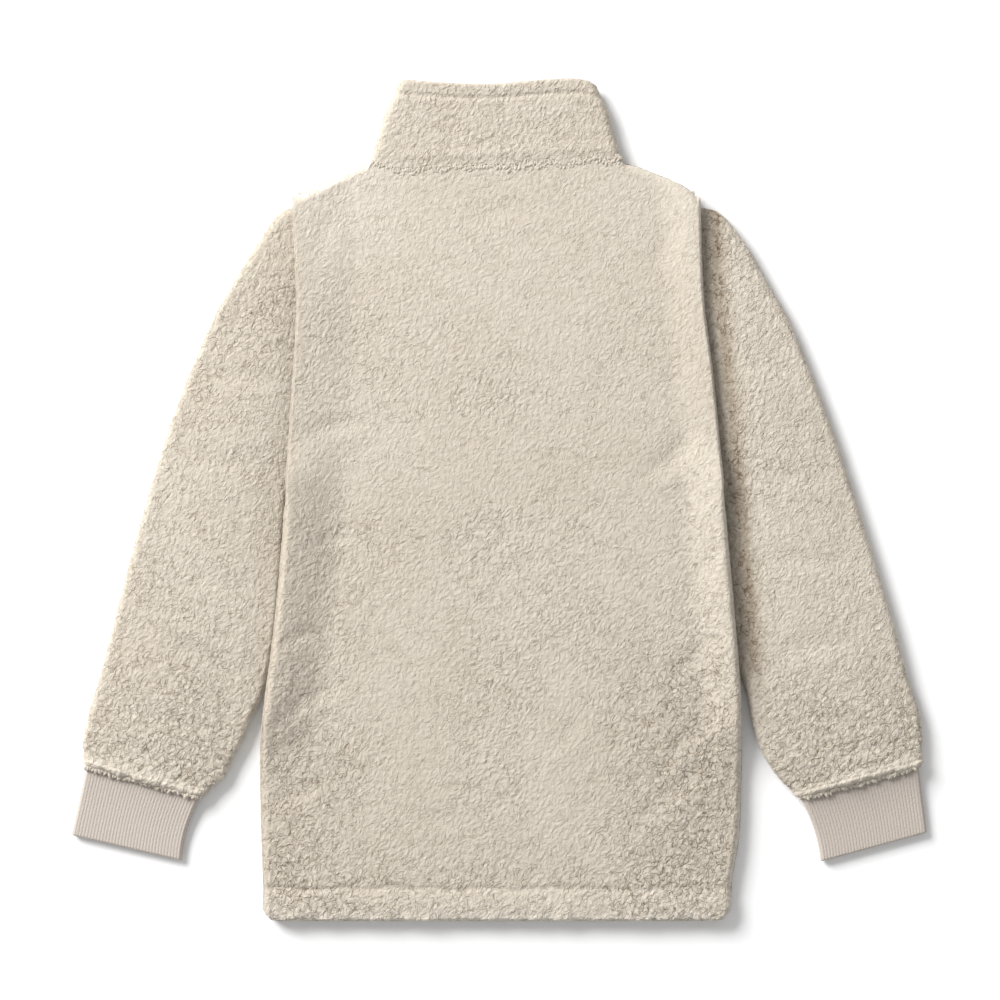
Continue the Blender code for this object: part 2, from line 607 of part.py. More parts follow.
def zip_pieces(materials, parts, cutters):
    slider_low = SLIDER_MIDDLE - SLIDER_SIZE[1] / 2
    chain_start = ZIP_START + BOX_SIZE[1] + GAP
    chain_end = slider_low - GAP
    length = chain_end - chain_start
    middle = (chain_start + chain_end) / 2
    box("zip_box", BOX_SIZE, (0, ZIP_START + BOX_SIZE[1] / 2, ZIP_LEVEL), materials["plastic"], parts,
        BOX_BEVEL)
    box("zip_chain", (CHAIN_WIDTH, length, CHAIN_THICK), (0, middle, ZIP_LEVEL), materials["plastic"], parts)
    tape_start = CHAIN_WIDTH / 2 + GAP
    tape_width = TAPE_EDGE - tape_start
    for side, sign in (("left", -1), ("right", 1)):
        box("zip_tape_" + side, (tape_width, length, TAPE_THICK),
            (sign * (tape_start + tape_width / 2), middle, ZIP_LEVEL), materials["tape"], parts)

    slider = box("zip_slider", SLIDER_SIZE, (0, SLIDER_MIDDLE, ZIP_LEVEL), materials["metal"], parts,
                 SLIDER_BEVEL)
    slider_under = ZIP_LEVEL - SLIDER_SIZE[2] / 2
    bridge_low = slider_under - BRIDGE_SIZE[2] + BRIDGE_SINK
    bridge = box("bridge", BRIDGE_SIZE, (0, SLIDER_MIDDLE, bridge_low + BRIDGE_SIZE[2] / 2),
                 materials["metal"], cutters)
    window_low = bridge_low + BRIDGE_BAR
    window_height = slider_under - window_low
    window = box("bridge_window", (BRIDGE_SIZE[0] + 2, BRIDGE_SIZE[1] - 2 * BRIDGE_BAR, window_height),
                 (0, SLIDER_MIDDLE, window_low + window_height / 2), materials["metal"], cutters)
    for cutter, operation in ((bridge, "UNION"), (window, "DIFFERENCE")):
        cutter.hide_render = True
        cutter.display_type = "WIRE"
        join = slider.modifiers.new(operation.lower(), "BOOLEAN")
        join.operation = operation
        join.object = cutter

    axis_z = window_low + window_height / 2
    pull = box("zip_pull", PULL_SIZE, (0, SLIDER_MIDDLE, axis_z), materials["metal"], parts)
    drop = -PULL_SIZE[1] / 2 + PULL_BAR / 2
    for vertex in pull.data.vertices:
        vertex.co.y += drop * MM
    hole = box("pull_window", (PULL_WINDOW[0], PULL_WINDOW[1], PULL_SIZE[2] * 3),
               (0, SLIDER_MIDDLE - PULL_BAR / 2 - PULL_WINDOW[1] / 2, axis_z), materials["metal"], cutters)
    hole.hide_render = True
    hole.display_type = "WIRE"
    rounding = pull.modifiers.new("rounded_end", "BEVEL")
    rounding.width = PULL_CORNER * MM
    rounding.segments = 3
    rounding.limit_method = "WEIGHT"
    weights = pull.data.attributes.new("bevel_weight_edge", "FLOAT", "EDGE")
    for edge in pull.data.edges:
        low, high = (pull.data.vertices[i].co for i in edge.vertices)
        upright_at_tip = abs(low.z - high.z) > 0 and low.y < 0 and high.y < 0
        weights.data[edge.index].value = 1.0 if upright_at_tip else 0.0
    cut = pull.modifiers.new("window", "BOOLEAN")
    cut.operation = "DIFFERENCE"
    cut.object = hole
    return SLIDER_MIDDLE, axis_z


def new_material(name, colour, roughness, metallic=0.0):
    material = bpy.data.materials.new(name)
    material.use_nodes = True
    shader = material.node_tree.nodes["Principled BSDF"]
    shader.inputs["Base Color"].default_value = (*colour, 1.0)
    shader.inputs["Roughness"].default_value = roughness
    shader.inputs["Metallic"].default_value = metallic
    return material


def build():
    for thing in list(bpy.data.objects):
        bpy.data.objects.remove(thing, do_unlink=True)
    parts = bpy.data.collections.new("fleece_jacket")
    cutters = bpy.data.collections.new("cutters")
    for collection in (parts, cutters):
        bpy.context.scene.collection.children.link(collection)
    materials = {
        "fleece": new_material("fleece", COLOURS["fleece"], 0.95),
        "rib": new_material("rib", COLOURS["rib"], 0.9),
        "tape": new_material("tape", COLOURS["tape"], 0.85),
        "plastic": new_material("plastic", COLOURS["plastic"], 0.45),
        "metal": new_material("metal", COLOURS["metal"], 0.3, 1.0),
    }
    back_panel(materials["fleece"], parts)
    front_panels(materials["fleece"], parts)
    for side in ("left", "right"):
        sleeve(side, materials["fleece"], parts)
        cuff(side, materials["rib"], parts)
    collar(materials["fleece"], parts)
    zip_pieces(materials, parts, cutters)

    # The whole garment hangs on one empty, which puts the middle of its box's underside at the origin.
    corners = np.array([thing.matrix_world @ vertex.co for thing in parts.objects
                        for vertex in thing.data.vertices])
    low, high = corners.min(axis=0), corners.max(axis=0)
    frame = bpy.data.objects.new("garment_frame", None)
    bpy.context.scene.collection.objects.link(frame)
    frame.location = (-(low[0] + high[0]) / 2, -(low[1] + high[1]) / 2, -low[2])
    for thing in list(parts.objects) + list(cutters.objects):
        thing.parent = frame
    bpy.context.view_layer.update()


build()
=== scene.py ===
import math

import bpy
import numpy as np
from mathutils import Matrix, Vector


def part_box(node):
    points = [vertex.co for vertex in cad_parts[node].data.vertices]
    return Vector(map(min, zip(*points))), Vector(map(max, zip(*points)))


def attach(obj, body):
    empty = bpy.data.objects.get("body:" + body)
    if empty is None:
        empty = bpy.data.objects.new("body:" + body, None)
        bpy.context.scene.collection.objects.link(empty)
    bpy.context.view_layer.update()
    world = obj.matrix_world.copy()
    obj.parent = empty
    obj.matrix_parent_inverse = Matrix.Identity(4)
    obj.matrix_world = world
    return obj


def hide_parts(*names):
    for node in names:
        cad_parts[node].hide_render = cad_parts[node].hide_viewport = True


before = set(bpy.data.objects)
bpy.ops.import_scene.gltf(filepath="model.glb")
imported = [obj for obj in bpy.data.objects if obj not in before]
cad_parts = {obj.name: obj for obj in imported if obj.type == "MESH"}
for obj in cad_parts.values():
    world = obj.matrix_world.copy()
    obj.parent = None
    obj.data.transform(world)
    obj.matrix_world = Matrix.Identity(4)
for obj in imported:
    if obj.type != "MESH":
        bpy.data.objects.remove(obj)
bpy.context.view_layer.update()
print("frame loaded")

# Lengths are millimetres on the garment until a mesh is made: x from its centre line, y up from the hem,
# z up from the floor.
mm = 0.001
zipStart = 2.0
zipLow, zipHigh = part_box("zip_chain")
garmentOrigin = np.array([(zipLow[0] + zipHigh[0]) / 2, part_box("zip_box")[0][1] - zipStart * mm, 0.0])

cloth = {
    "wall": 6.0,            # sherpa with its pile
    "bodyHeight": 15.0,     # back on front, with the air between them
    "seamGap": 0.3,
    "floorGap": 0.1,
    "edgeReach": (50.0, 36.0),    # stretch by the left and right side that lifts over a sleeve
    "hemBand": 26.0,        # turned-up hem, edge to stitching
    "hemCorner": 12.0, "cornerLimit": 0.96,    # radius, and the share of it that is round
    "cornerFade": 14.0,     # how far up the side the corner's rise fades
    "noseStart": math.radians(20),
    "frontDip": 38.0,       # front neckline below the back one
    "zipGap": 6.8,          # centre line to each front's edge
    "seamCorner": 1.2,      # rounding of an edge that a seam presses against its neighbour
    "neck": (-101.6, 100.0),
    "neckEase": (4.0, 6.0),    # how far outside a neck point the top edge opens, and over what width
    "neckWaves": ((1.3, 11.0, 5), (0.8, 4.5, 6)),    # height, length and noise number
    "waveShare": 0.03,      # share of the panel's height that strays with the neck seam
    "insideMark": 0.5,      # what every mark says on a wall's hidden face
    "shoulder": 578.0,
}
bodyEdges = [  # y, left, right
    (578, -163.2, 162.4), (540, -161.5, 163.4), (500, -160.1, 165.4), (450, -162.4, 171.4),
    (400, -165.6, 176.4), (350, -168.6, 180.8), (300, -172.2, 185.1), (240, -177.6, 190.4),
    (176, -185.6, 195.2), (144, -189.2, 196.0), (110, -189.8, 195.8), (64, -188.8, 193.8),
    (30, -187.6, 188.6), (0, -187.2, 187.0)]
edgeLifts = [  # y, back, front, and 1 where the side is an open armhole
    (600, 5.8, 0, 1), (386, 5.8, 0, 1), (350, 11.2, 12.6, 1), (328, 11.2, 12.6, 0), (300, 10.8, 10.8, 0),
    (176, 10.8, 10.8, 0), (112, 0, 0, 0), (0, 0, 0, 0)]
topLine = [  # x, y along the shoulders and the neck seam
    (-163.2, 578.0), (-146.4, 585.6), (-118.4, 598.0), (-101.6, 604.5), (-77.6, 600.0), (-37.6, 601.4),
    (2.4, 602.4), (57.6, 605.0), (100.0, 605.5), (123.2, 598.4), (151.2, 585.6), (162.4, 576.0)]


def smoothCurve(rows, column):
    # Cubic through a table's rows; the slope at a row is the mean of the slopes on its two sides.
    table = np.array(sorted(rows), float)
    at, to = table[:, 0], table[:, column]
    steps = np.diff(to) / np.diff(at)
    slopes = np.concatenate((steps[:1], (steps[1:] + steps[:-1]) / 2, steps[-1:]))

    def read(place):
        place = np.clip(place, at[0], at[-1])
        i = np.clip(np.searchsorted(at, place, side="right") - 1, 0, len(at) - 2)
        span = at[i + 1] - at[i]
        t = (place - at[i]) / span
        start = (1 + 2 * t) * (1 - t) ** 2 * to[i] + t * (1 - t) ** 2 * span * slopes[i]
        return start + t * t * (3 - 2 * t) * to[i + 1] + t * t * (t - 1) * span * slopes[i + 1]

    return read


def easedSteps(rows, column):
    # Level at every row, with an eased rise or fall between rows.
    table = np.array(sorted(rows), float)
    at, to = table[:, 0], table[:, column]

    def read(place):
        place = np.clip(place, at[0], at[-1])
        i = np.clip(np.searchsorted(at, place, side="right") - 1, 0, len(at) - 2)
        return to[i] + (to[i + 1] - to[i]) * eased((place - at[i]) / (at[i + 1] - at[i]))

    return read


def eased(t):
    t = np.clip(t, 0, 1)
    return t * t * (3 - 2 * t)


def easedFrom(value, start, over):
    return eased((value - start) / over)


def bell(value, middle, width):
    return np.exp(-((value - middle) / width) ** 2)


leftEdge, rightEdge = smoothCurve(bodyEdges, 1), smoothCurve(bodyEdges, 2)
backLift, frontLift, sideOpened = (easedSteps(edgeLifts, column) for column in (1, 2, 3))
shoulderLine = smoothCurve(topLine, 1)


def cellHash(cells, salt):
    # Scrambles whole-number cell places into 32 bits that look random.
    h = (cells[0] * 73856093) ^ (cells[1] * 19349663) ^ (cells[2] * 83492791) ^ (salt * 40503)
    for _ in range(2):
        h = h & 0xffffffff
        h = (h ^ (h >> 16)) * 0x45d9f3b
    h = h & 0xffffffff
    return h ^ (h >> 16)


def softNoise(points, size, salt):
    # Random heights from -1 to 1 on a cube lattice, blended by 6t^5 - 15t^4 + 10t^3 along each axis.
    place = points / size
    cell = np.floor(place).astype(np.int64)
    t = place - cell
    t = t ** 3 * (t * (6 * t - 15) + 10)
    total = 0.0
    for corner in np.ndindex(2, 2, 2):
        weight = 1.0
        for axis in range(3):
            weight = weight * (t[..., axis] if corner[axis] else 1 - t[..., axis])
        total = total + weight * cellHash([cell[..., axis] + corner[axis] for axis in range(3)], salt)
    return 2 * total / 2 ** 32 - 1


def stray(points, waves):
    # Sum of soft noises, each with a height, a size and a number.
    return sum(height * softNoise(points, size, salt) for height, size, salt in waves)


def curlCells(points, salt):
    # Distance to the nearest scattered centre over that to the next: 0 on a curl's crown, 1 in a crack.
    cell = np.floor(points).astype(np.int64)
    nearest = np.full(points.shape[:-1], 9.0)
    second = nearest.copy()
    for step in np.ndindex(3, 3, 3):
        at = [cell[..., axis] + step[axis] - 1 for axis in range(3)]
        h = cellHash(at, salt)
        distance = 0.0
        for axis in range(3):
            distance = distance + (at[axis] + ((h >> (10 * axis)) & 1023) / 1023 - points[..., axis]) ** 2
        second = np.minimum(second, np.maximum(nearest, distance))
        nearest = np.minimum(nearest, distance)
    return np.sqrt(nearest / second)


pile = {
    "lean": math.radians(58),          # the lay of the curls, from +x
    "bend": 6.0, "bendSize": 34.0,     # how far and how often the lay bends
    "curl": (6.4, 8.0), "curlDepth": 0.95,                      # each width and length, then depth
    "tuft": (3.4, 4.6), "tuftDepth": 0.4, "tuftShare": 0.15,    # share of it that the finest pile keeps
    "streak": (2.6, 4.4), "streakDepth": 0.25, "streakLoss": 0.4,    # share that the coarsest pile loses
    "fullShadeDepth": 1.6,                 # the depth at which the painted shade of the pile is at its darkest
    "combed": (0.74, -0.67, 0.0),      # painted light: edges turned this way, away from the key light, are painted paler to fill their shade
    "paintedFillFrom": 0.4, "paintedFillOver": 0.4, "paintedFillGain": 1.8,
}


def layPlaces(points, size):
    # Places in a frame turned to the lay, counted in cells of the given width and length.
    cos, sin = math.cos(pile["lean"]), math.sin(pile["lean"])
    along = points[..., 0] * cos + points[..., 1] * sin
    across = points[..., 0] * sin - points[..., 1] * cos
    return np.stack((across / size[0], along / size[1], points[..., 2] / size[0]), axis=-1)


def pileRelief(points, coarse, salt):
    # Depth below the pile's tips: cobbled curls and tufts where coarse is 1, fine streaks where it is 0.
    bend = np.stack([softNoise(points, pile["bendSize"], salt + k) for k in range(3)], axis=-1)
    points = points + pile["bend"] * bend
    curls = curlCells(layPlaces(points, pile["curl"]), salt + 3)
    tufts = curlCells(layPlaces(points, pile["tuft"]), salt + 4)
    streaks = curlCells(layPlaces(points, pile["streak"]), salt + 5)
    tuftShare = pile["tuftShare"] + (1 - pile["tuftShare"]) * coarse
    return (pile["curlDepth"] * coarse * curls ** 4 + pile["tuftDepth"] * tuftShare * tufts ** 2
            + pile["streakDepth"] * (1 - pile["streakLoss"] * coarse) * streaks ** 2)


def wallNormals(outer, inner, wrap):
    # Cross product of the steps along both parameters, turned away from the wall's inner face.
    if wrap:
        around = np.roll(outer, -1, axis=1) - np.roll(outer, 1, axis=1)
    else:
        around = np.gradient(outer, axis=1)
    normal = np.cross(np.gradient(outer, axis=0), around)
    normal = normal / np.maximum(np.linalg.norm(normal, axis=-1, keepdims=True), 1e-9)
    return normal * np.sign((normal * (outer - inner)).sum())


def gridFaces(rows, columns, offset, wrap, flip):
    i, j = np.meshgrid(np.arange(rows - 1), np.arange(columns if wrap else columns - 1), indexing="ij")
    i, j, after = i.ravel(), j.ravel(), (j.ravel() + 1) % columns
    quads = np.stack((i * columns + j, (i + 1) * columns + j, (i + 1) * columns + after,
                      i * columns + after), axis=-1) + offset
    return (quads[:, ::-1] if flip else quads).tolist()


def rimFaces(outerRim, innerRim, ratio):
    # One face for each inner edge, with the ratio + 1 outer points that lie beside it.
    count = len(innerRim)
    near = np.arange(count)[:, None] * ratio + np.arange(ratio, -1, -1)
    outer = outerRim[near % len(outerRim)]
    return np.column_stack((outer, innerRim, np.roll(innerRim, -1))).tolist()


def rodFaces(rows, around, flips):
    # Faces of many closed rods, one for each flip: a tube of rows with a cap at each end.
    tube, mirrored = (np.array(gridFaces(rows, around, 0, True, flip)) for flip in (False, True))
    caps = np.stack((np.arange(around), (rows - 1) * around + np.arange(around)[::-1]))
    base, flips = (np.arange(len(flips)) * rows * around)[:, None, None], flips[:, None, None]
    return ((np.where(flips, mirrored, tube) + base).reshape(-1, 4).tolist()
            + (np.where(flips, caps[:, ::-1], caps) + base).reshape(-1, around).tolist())


def gridRim(rows, columns, offset):
    i, j = np.arange(rows), np.arange(columns)
    return offset + np.concatenate((i * columns, (rows - 1) * columns + j[1:],
                                    i[-2::-1] * columns + columns - 1, j[-2:0:-1]))


def makePiece(name, node, points, faces, finish, marks=()):
    # A closed mesh on the garment, faces out, that rides with the jacket.
    mesh = bpy.data.meshes.new(name)
    mesh.from_pydata((points * mm + garmentOrigin).tolist(), [], faces)
    mesh.calc_loop_triangles()
    corners = np.empty(len(mesh.loop_triangles) * 3, np.int64)
    mesh.loop_triangles.foreach_get("vertices", corners)
    a, b, c = (points[corners.reshape(-1, 3)[:, k]] for k in range(3))
    if (a * np.cross(b, c)).sum() < 0:
        mesh.flip_normals()
    for key, values in dict(marks).items():
        mesh.attributes.new(key, "FLOAT", "POINT").data.foreach_set("value", values.astype(np.float32))
    mesh.shade_smooth()
    mesh.materials.append(finish)
    piece = bpy.data.objects.new(name, mesh)
    bpy.context.collection.objects.link(piece)
    if node:
        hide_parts(node)
    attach(piece, "jacket")
    print(f"{name}: {len(mesh.loop_triangles)} triangles")
    return piece


def makeWall(name, node, surface, relief, finish, slot, ratio=4, wrap=False):
    # A wall between a fine outer grid with relief and an inner grid of every ratio-th line.
    outer, inner = surface(False), surface(True)
    depth, marks = relief(outer)
    normals = wallNormals(outer, inner, wrap)
    outer = outer - normals * depth[..., None]
    if slot == "fleece":
        # Painted light: faces turned away from the key light are painted paler, as far as a mark allows.
        turnedFromLight = np.clip((normals @ np.array(pile["combed"]) - pile["paintedFillFrom"]) / pile["paintedFillOver"], 0, 1)
        marks["crack"] = marks["crack"] - pile["paintedFillGain"] * turnedFromLight * marks.pop("combed", 1.0)
    outer[..., 2] = np.maximum(outer[..., 2], cloth["floorGap"])
    inner = inner[::ratio, ::ratio]
    rows, columns = outer.shape[:2]
    innerRows, innerColumns = inner.shape[:2]
    size = rows * columns
    faces = (gridFaces(rows, columns, 0, wrap, False)
             + gridFaces(innerRows, innerColumns, size, wrap, True))
    if wrap:
        outerEnd, innerEnd = size - columns, size + (innerRows - 1) * innerColumns
        first = rimFaces(np.arange(columns), size + np.arange(innerColumns), ratio)
        last = rimFaces(outerEnd + np.arange(columns), innerEnd + np.arange(innerColumns), ratio)
        faces += [face[::-1] for face in first] + last
    else:
        faces += rimFaces(gridRim(rows, columns, 0), gridRim(innerRows, innerColumns, size), ratio)
    marks = {key: np.concatenate((values.ravel(), np.full(innerRows * innerColumns, cloth["insideMark"])))
             for key, values in marks.items()}
    points = np.concatenate((outer.reshape(-1, 3), inner.reshape(-1, 3)))
    return makePiece(name, node, points, faces, finish, marks)


def neckOpened(x):
    # 1 between the neck points, where the top edge is open for the collar, and 0 on the shoulders.
    (left, right), (start, width) = cloth["neck"], cloth["neckEase"]
    return eased((x - left + start) / width) * eased((right + start - x) / width)


def frontNeckline(x):
    # The back's top line less a parabola across the neck.
    left, right = cloth["neck"]
    across = np.clip((x - left) / (right - left), 0, 1)
    return shoulderLine(x) - cloth["frontDip"] * (1 - (2 * across - 1) ** 2)


def seamWander(x):
    # How far the neck seam strays up and down: waves of noise along it.
    return stray(np.stack((x, 0 * x, 0 * x), axis=-1), cloth["neckWaves"])


def layerHeights(x, y):
    # Height of the back's upper face and of the fronts' under face.
    near = (1 - eased((x - leftEdge(y)) / cloth["edgeReach"][0])
            + 1 - eased((rightEdge(y) - x) / cloth["edgeReach"][1]))
    return cloth["bodyHeight"] + backLift(y) * near, frontLift(y) * near


def cornerRise(distance):
    # Rise of the hem line within a corner's radius of the side: r - sqrt(r^2 - t^2).
    t = np.clip(1 - distance / cloth["hemCorner"], 0, cloth["cornerLimit"])
    return cloth["hemCorner"] * (1 - np.sqrt(1 - t * t))


def edgeProfile(angle, opened, halfHeight, inner, corner):
    # Inset, centre and half-thickness of an edge: a quarter circle where closed, and where open two
    # quarter circles of the corner's radius.
    wall = cloth["wall"]
    nose = cloth["noseStart"] + (1 - cloth["noseStart"] / (math.pi / 2)) * angle
    start = wall if inner else 0.0
    roll = start + (halfHeight - start) * (1 - np.cos(angle))
    inset = roll + (corner * (1 - np.cos(nose)) - roll) * opened
    centre = np.sin(angle) + (1 - np.sin(angle)) * opened
    thick = 1 - corner / (wall / 2) * (1 - np.sin(nose))
    return inset, centre, np.sin(angle) + (thick - np.sin(angle)) * opened


def panelSurface(shape, inner):
    # A panel's face: its middle height plus sign * (centre + half the wall), with its four edges turned.
    left, right, top, openedLeft, openedRight, sign = (
        shape[key] for key in ("left", "right", "top", "openedLeft", "openedRight", "sign"))
    wall, gap = cloth["wall"], cloth["seamGap"]
    face = math.pi / 2
    arc = np.linspace(0, face, shape["arcSteps"] + 1)[:-1]
    hemArc = np.linspace(0, face, shape["hemSteps"] + 1)[:-1]
    across = np.concatenate((0 * arc, np.linspace(0, 1, shape["acrossSteps"] + 1), 1 + 0 * arc))
    turnX = np.concatenate((arc, np.full(shape["acrossSteps"] + 1, face), arc[::-1]))
    up = np.concatenate((0 * hemArc, np.linspace(0, 1, shape["upSteps"] + 1), 1 + 0 * hemArc))
    turnY = np.concatenate((hemArc, np.full(shape["upSteps"] + 1, face), hemArc[::-1]))
    across, up = np.meshgrid(across, up, indexing="ij")
    turnX, turnY = np.meshgrid(turnX, turnY, indexing="ij")
    lowX = float(left(cloth["shoulder"])) + wall / 2
    highX = float(right(cloth["shoulder"])) - wall / 2
    topY = top(lowX + (highX - lowX) * across)

    # First across, at heights that are counted without the edges' insets, then up.
    y = topY * up
    upper, under = layerHeights(np.where(across < 0.5, left(y), right(y)), y)
    openedX = np.where(across < 0.5, openedLeft(y), openedRight(y))
    insetX, centreX, thickX = edgeProfile(turnX, openedX, (upper - under) / 2 - gap / 2, inner, wall / 2)
    x = left(y) + (right(y) - left(y)) * across + insetX * (1 - 2 * across)
    upper, under = layerHeights(x, y)
    openedY = np.where(up > 0.5, neckOpened(x), 1.0)
    sewn = np.where(up > 0.5, cloth["seamCorner"], wall / 2)
    insetY, centreY, thickY = edgeProfile(turnY, openedY, (upper - under) / 2 - gap / 2, inner, sewn)
    corner = cornerRise(np.minimum(x - leftEdge(0), rightEdge(0) - x)) * np.exp(-y / cloth["cornerFade"])
    y = y + corner + insetY * (1 - 2 * up)
    if sign > 0:
        y = y + seamWander(x) * neckOpened(x) * eased(1 - (1 - up) / cloth["waveShare"])

    upper, under = layerHeights(x, y)
    half = (upper - under) / 2 - gap / 2
    side = -1 if inner else 1
    height = (half - wall / 2) * centreX * centreY + side * wall / 2 * thickX * thickY
    return np.stack((x, y, (upper + under) / 2 + sign * (gap / 2 + height)), axis=-1)


sleeves = {
    "height": 13.6, "crown": 2.0,   # folded flat, and how far its top swells in the middle
    "tuck": 4.0,                    # how far its mouth lies under the body's edge
    "mouthRings": 3.0,              # rings over which the mouth bows along the armhole
    "steepest": 0.3,
    "press": {"left": 0.06, "right": 0.3},    # share of its height lost beside the body
    "pressReach": 15.0, "pressFrom": 170.0, "pressTo": 225.0,    # how far out, and where up the side
    "ringSteps": 272, "endSteps": 8, "endTurn": math.radians(70),
    "arcSteps": 14, "runSteps": 93, "length": 440.0,
    "flat": {"left": (0.36, 0.47), "right": (0.37, 0.47)}, "area": {"left": 0.094, "right": 0.098},
}
sleeveRings = [  # number, outer y, left outline x, right outline x, y on the fold beside the body
    (0, 572, -159.0, 158.9, 388), (1, 565, -175.0, 179.5, 366), (2, 541, -192.5, 199.5, 344),
    (3, 509, -212.0, 217.5, 322), (4, 476, -230.0, 236.0, 300), (5, 402, -260.0, 265.5, 254),
    (6, 325, -284.0, 291.0, 209), (7, 254, -303.0, 313.3, 174), (8, 222, -311.0, 322.0, 158),
    (9, 194, -318.6, 329.2, 141), (10, 168, -326.5, 338.0, 124), (11, 144, -331.5, 341.2, 110),
    (12, 128, -330.5, 339.5, 101)]
lastRing = float(sleeveRings[-1][0])
sleeveFold = [  # y, how far the fold lies out from the body's edge, left and right
    (400, -4.0, -4.0), (350, -4.0, -4.0), (322, -2.8, -2.8), (208, -2.8, -2.8), (176, 1.6, 4.0),
    (160, 7.4, 6.2), (144, 12.0, 10.4), (128, 20.2, 17.8), (112, 28.0, 29.0), (100, 43.0, 42.5),
    (90, 50.0, 48.0)]


def sleeveLines(side, number):
    # Outline and fold of a sleeve at places counted in rings from the armhole.
    edge, out, column = (leftEdge, -1, 1) if side == "left" else (rightEdge, 1, 2)
    outlineX, outlineY, foldY = (smoothCurve(sleeveRings, k)(number) for k in (column + 1, 1, 4))
    outline = np.stack((outlineX, outlineY), -1)
    return outline, np.stack((edge(foldY) + out * smoothCurve(sleeveFold, column)(foldY), foldY), -1)


def ringFrame(outline, fold, side):
    # Length of each ring, its direction, and the direction down the sleeve square to it.
    length = np.linalg.norm(fold - outline, axis=-1, keepdims=True)
    along = (fold - outline) / length
    return length, along, np.stack((along[..., 1], -along[..., 0]), -1) * (1 if side == "left" else -1)


def sleeveEnd(side):
    # Outline, fold, length and directions of the last ring, and how far the end's edge reaches past it.
    outline, fold = sleeveLines(side, np.array([lastRing]))
    length, along, ahead = ringFrame(outline, fold, side)
    reach = cloth["wall"] / 2 * math.sin(sleeves["endTurn"])
    return outline[0], fold[0], float(length[0, 0]), along[0], ahead[0], reach


def sleeveSurface(side, inner):
    # Rings from the outline along the top to the fold and back below; both folds are half ellipses.
    edge, out = (leftEdge, -1) if side == "left" else (rightEdge, 1)
    number = np.append(np.linspace(0, lastRing, sleeves["ringSteps"] + 1),
                       np.full(sleeves["endSteps"], lastRing))
    turn = np.concatenate((np.zeros(sleeves["ringSteps"]),
                           np.linspace(0, sleeves["endTurn"], sleeves["endSteps"] + 1)))[:, None]
    outline, fold = sleeveLines(side, number)
    length, along, ahead = ringFrame(outline, fold, side)
    reaches = []
    for pair in (0, 1):
        step = (sleeveLines(side, np.minimum(number + 1, lastRing))[pair]
                - sleeveLines(side, np.maximum(number - 1, 0))[pair])
        slant = abs(step[:, 0] * along[:, 1] - step[:, 1] * along[:, 0]) / np.linalg.norm(step, axis=1)
        reaches.append(sleeves["height"] / 2 / np.maximum(slant, sleeves["steepest"])[:, None])
    wall, height = cloth["wall"], sleeves["height"]
    nose = wall / 2 * (1 - np.cos(turn))
    inset = wall - nose if inner else nose
    radius = height / 2 - inset
    arc = np.linspace(-math.pi / 2, math.pi / 2, sleeves["arcSteps"])
    run = np.linspace(0, 1, sleeves["runSteps"] + 1)[1:-1]
    first = reaches[0] * (1 - radius / (height / 2) * np.cos(arc))
    second = length - reaches[1] * (1 - radius / (height / 2) * np.cos(arc))
    top = reaches[0] + (length - reaches[0] - reaches[1]) * run
    place = np.concatenate((first, top, second[:, ::-1], top[:, ::-1]), axis=1)
    crown = sleeves["crown"] * eased(number / sleeves["mouthRings"])[:, None] * np.sin(math.pi * run)
    rise = np.concatenate((height / 2 + radius * np.sin(arc), height - inset + crown,
                           height / 2 + radius * np.sin(arc[::-1]), inset + 0 * run), axis=1)
    plan = (outline + ahead * wall / 2 * np.sin(turn))[:, None] + place[..., None] * along[:, None]
    # The first rings bow to follow the armhole.
    follow = (np.clip(1 - number / sleeves["mouthRings"], 0, 1)[:, None]
              * np.sin(math.pi * np.clip(place / length, 0, 1)))
    straight = outline[:, :1] + (plan[..., 1] - outline[:, 1:]) * (along[:, :1] / along[:, 1:])
    plan[..., 0] += (edge(plan[..., 1]) - out * sleeves["tuck"] - straight) * follow
    # The body's edge presses the sleeve down beside it.
    beside = np.clip(out * (plan[..., 0] - edge(plan[..., 1])) + sleeves["tuck"], 0, None)
    press = (sleeves["press"][side] * np.exp(-(beside / sleeves["pressReach"]) ** 2)
             * eased((plan[..., 1] - sleeves["pressFrom"]) / (sleeves["pressTo"] - sleeves["pressFrom"])))
    return np.concatenate((plan, (rise * (1 - press))[..., None]), axis=-1)


cuffs = {
    "height": 5.8, "wall": 2.2, "ribs": 74, "ribRise": 0.26, "ribShape": 0.8,
    "endRound": 0.02, "endShare": 0.35,     # share of its length that is rounded, and of its wall left
    "seamInset": 4.0, "ribSteps": 8, "ringSteps": 60,
    "flat": (0.178, 0.058),
    "left": ((-247.6, 72.0), (-340.0, 68.4), (-251.5, 48.0)),    # inner side, outer end, inner end
    "right": ((253.5, 72.0), (343.6, 70.4), (258.4, 47.2)),
    "middle": [(0.0, 6.8), (0.45, 4.5), (1.0, 3.7)],              # height of the tube's middle, seam to end
}


def ribWave():
    # |sin| at the points round a cuff, one swell for each rib.
    return abs(np.sin(math.pi * np.arange(cuffs["ribs"] * cuffs["ribSteps"]) / cuffs["ribSteps"]))


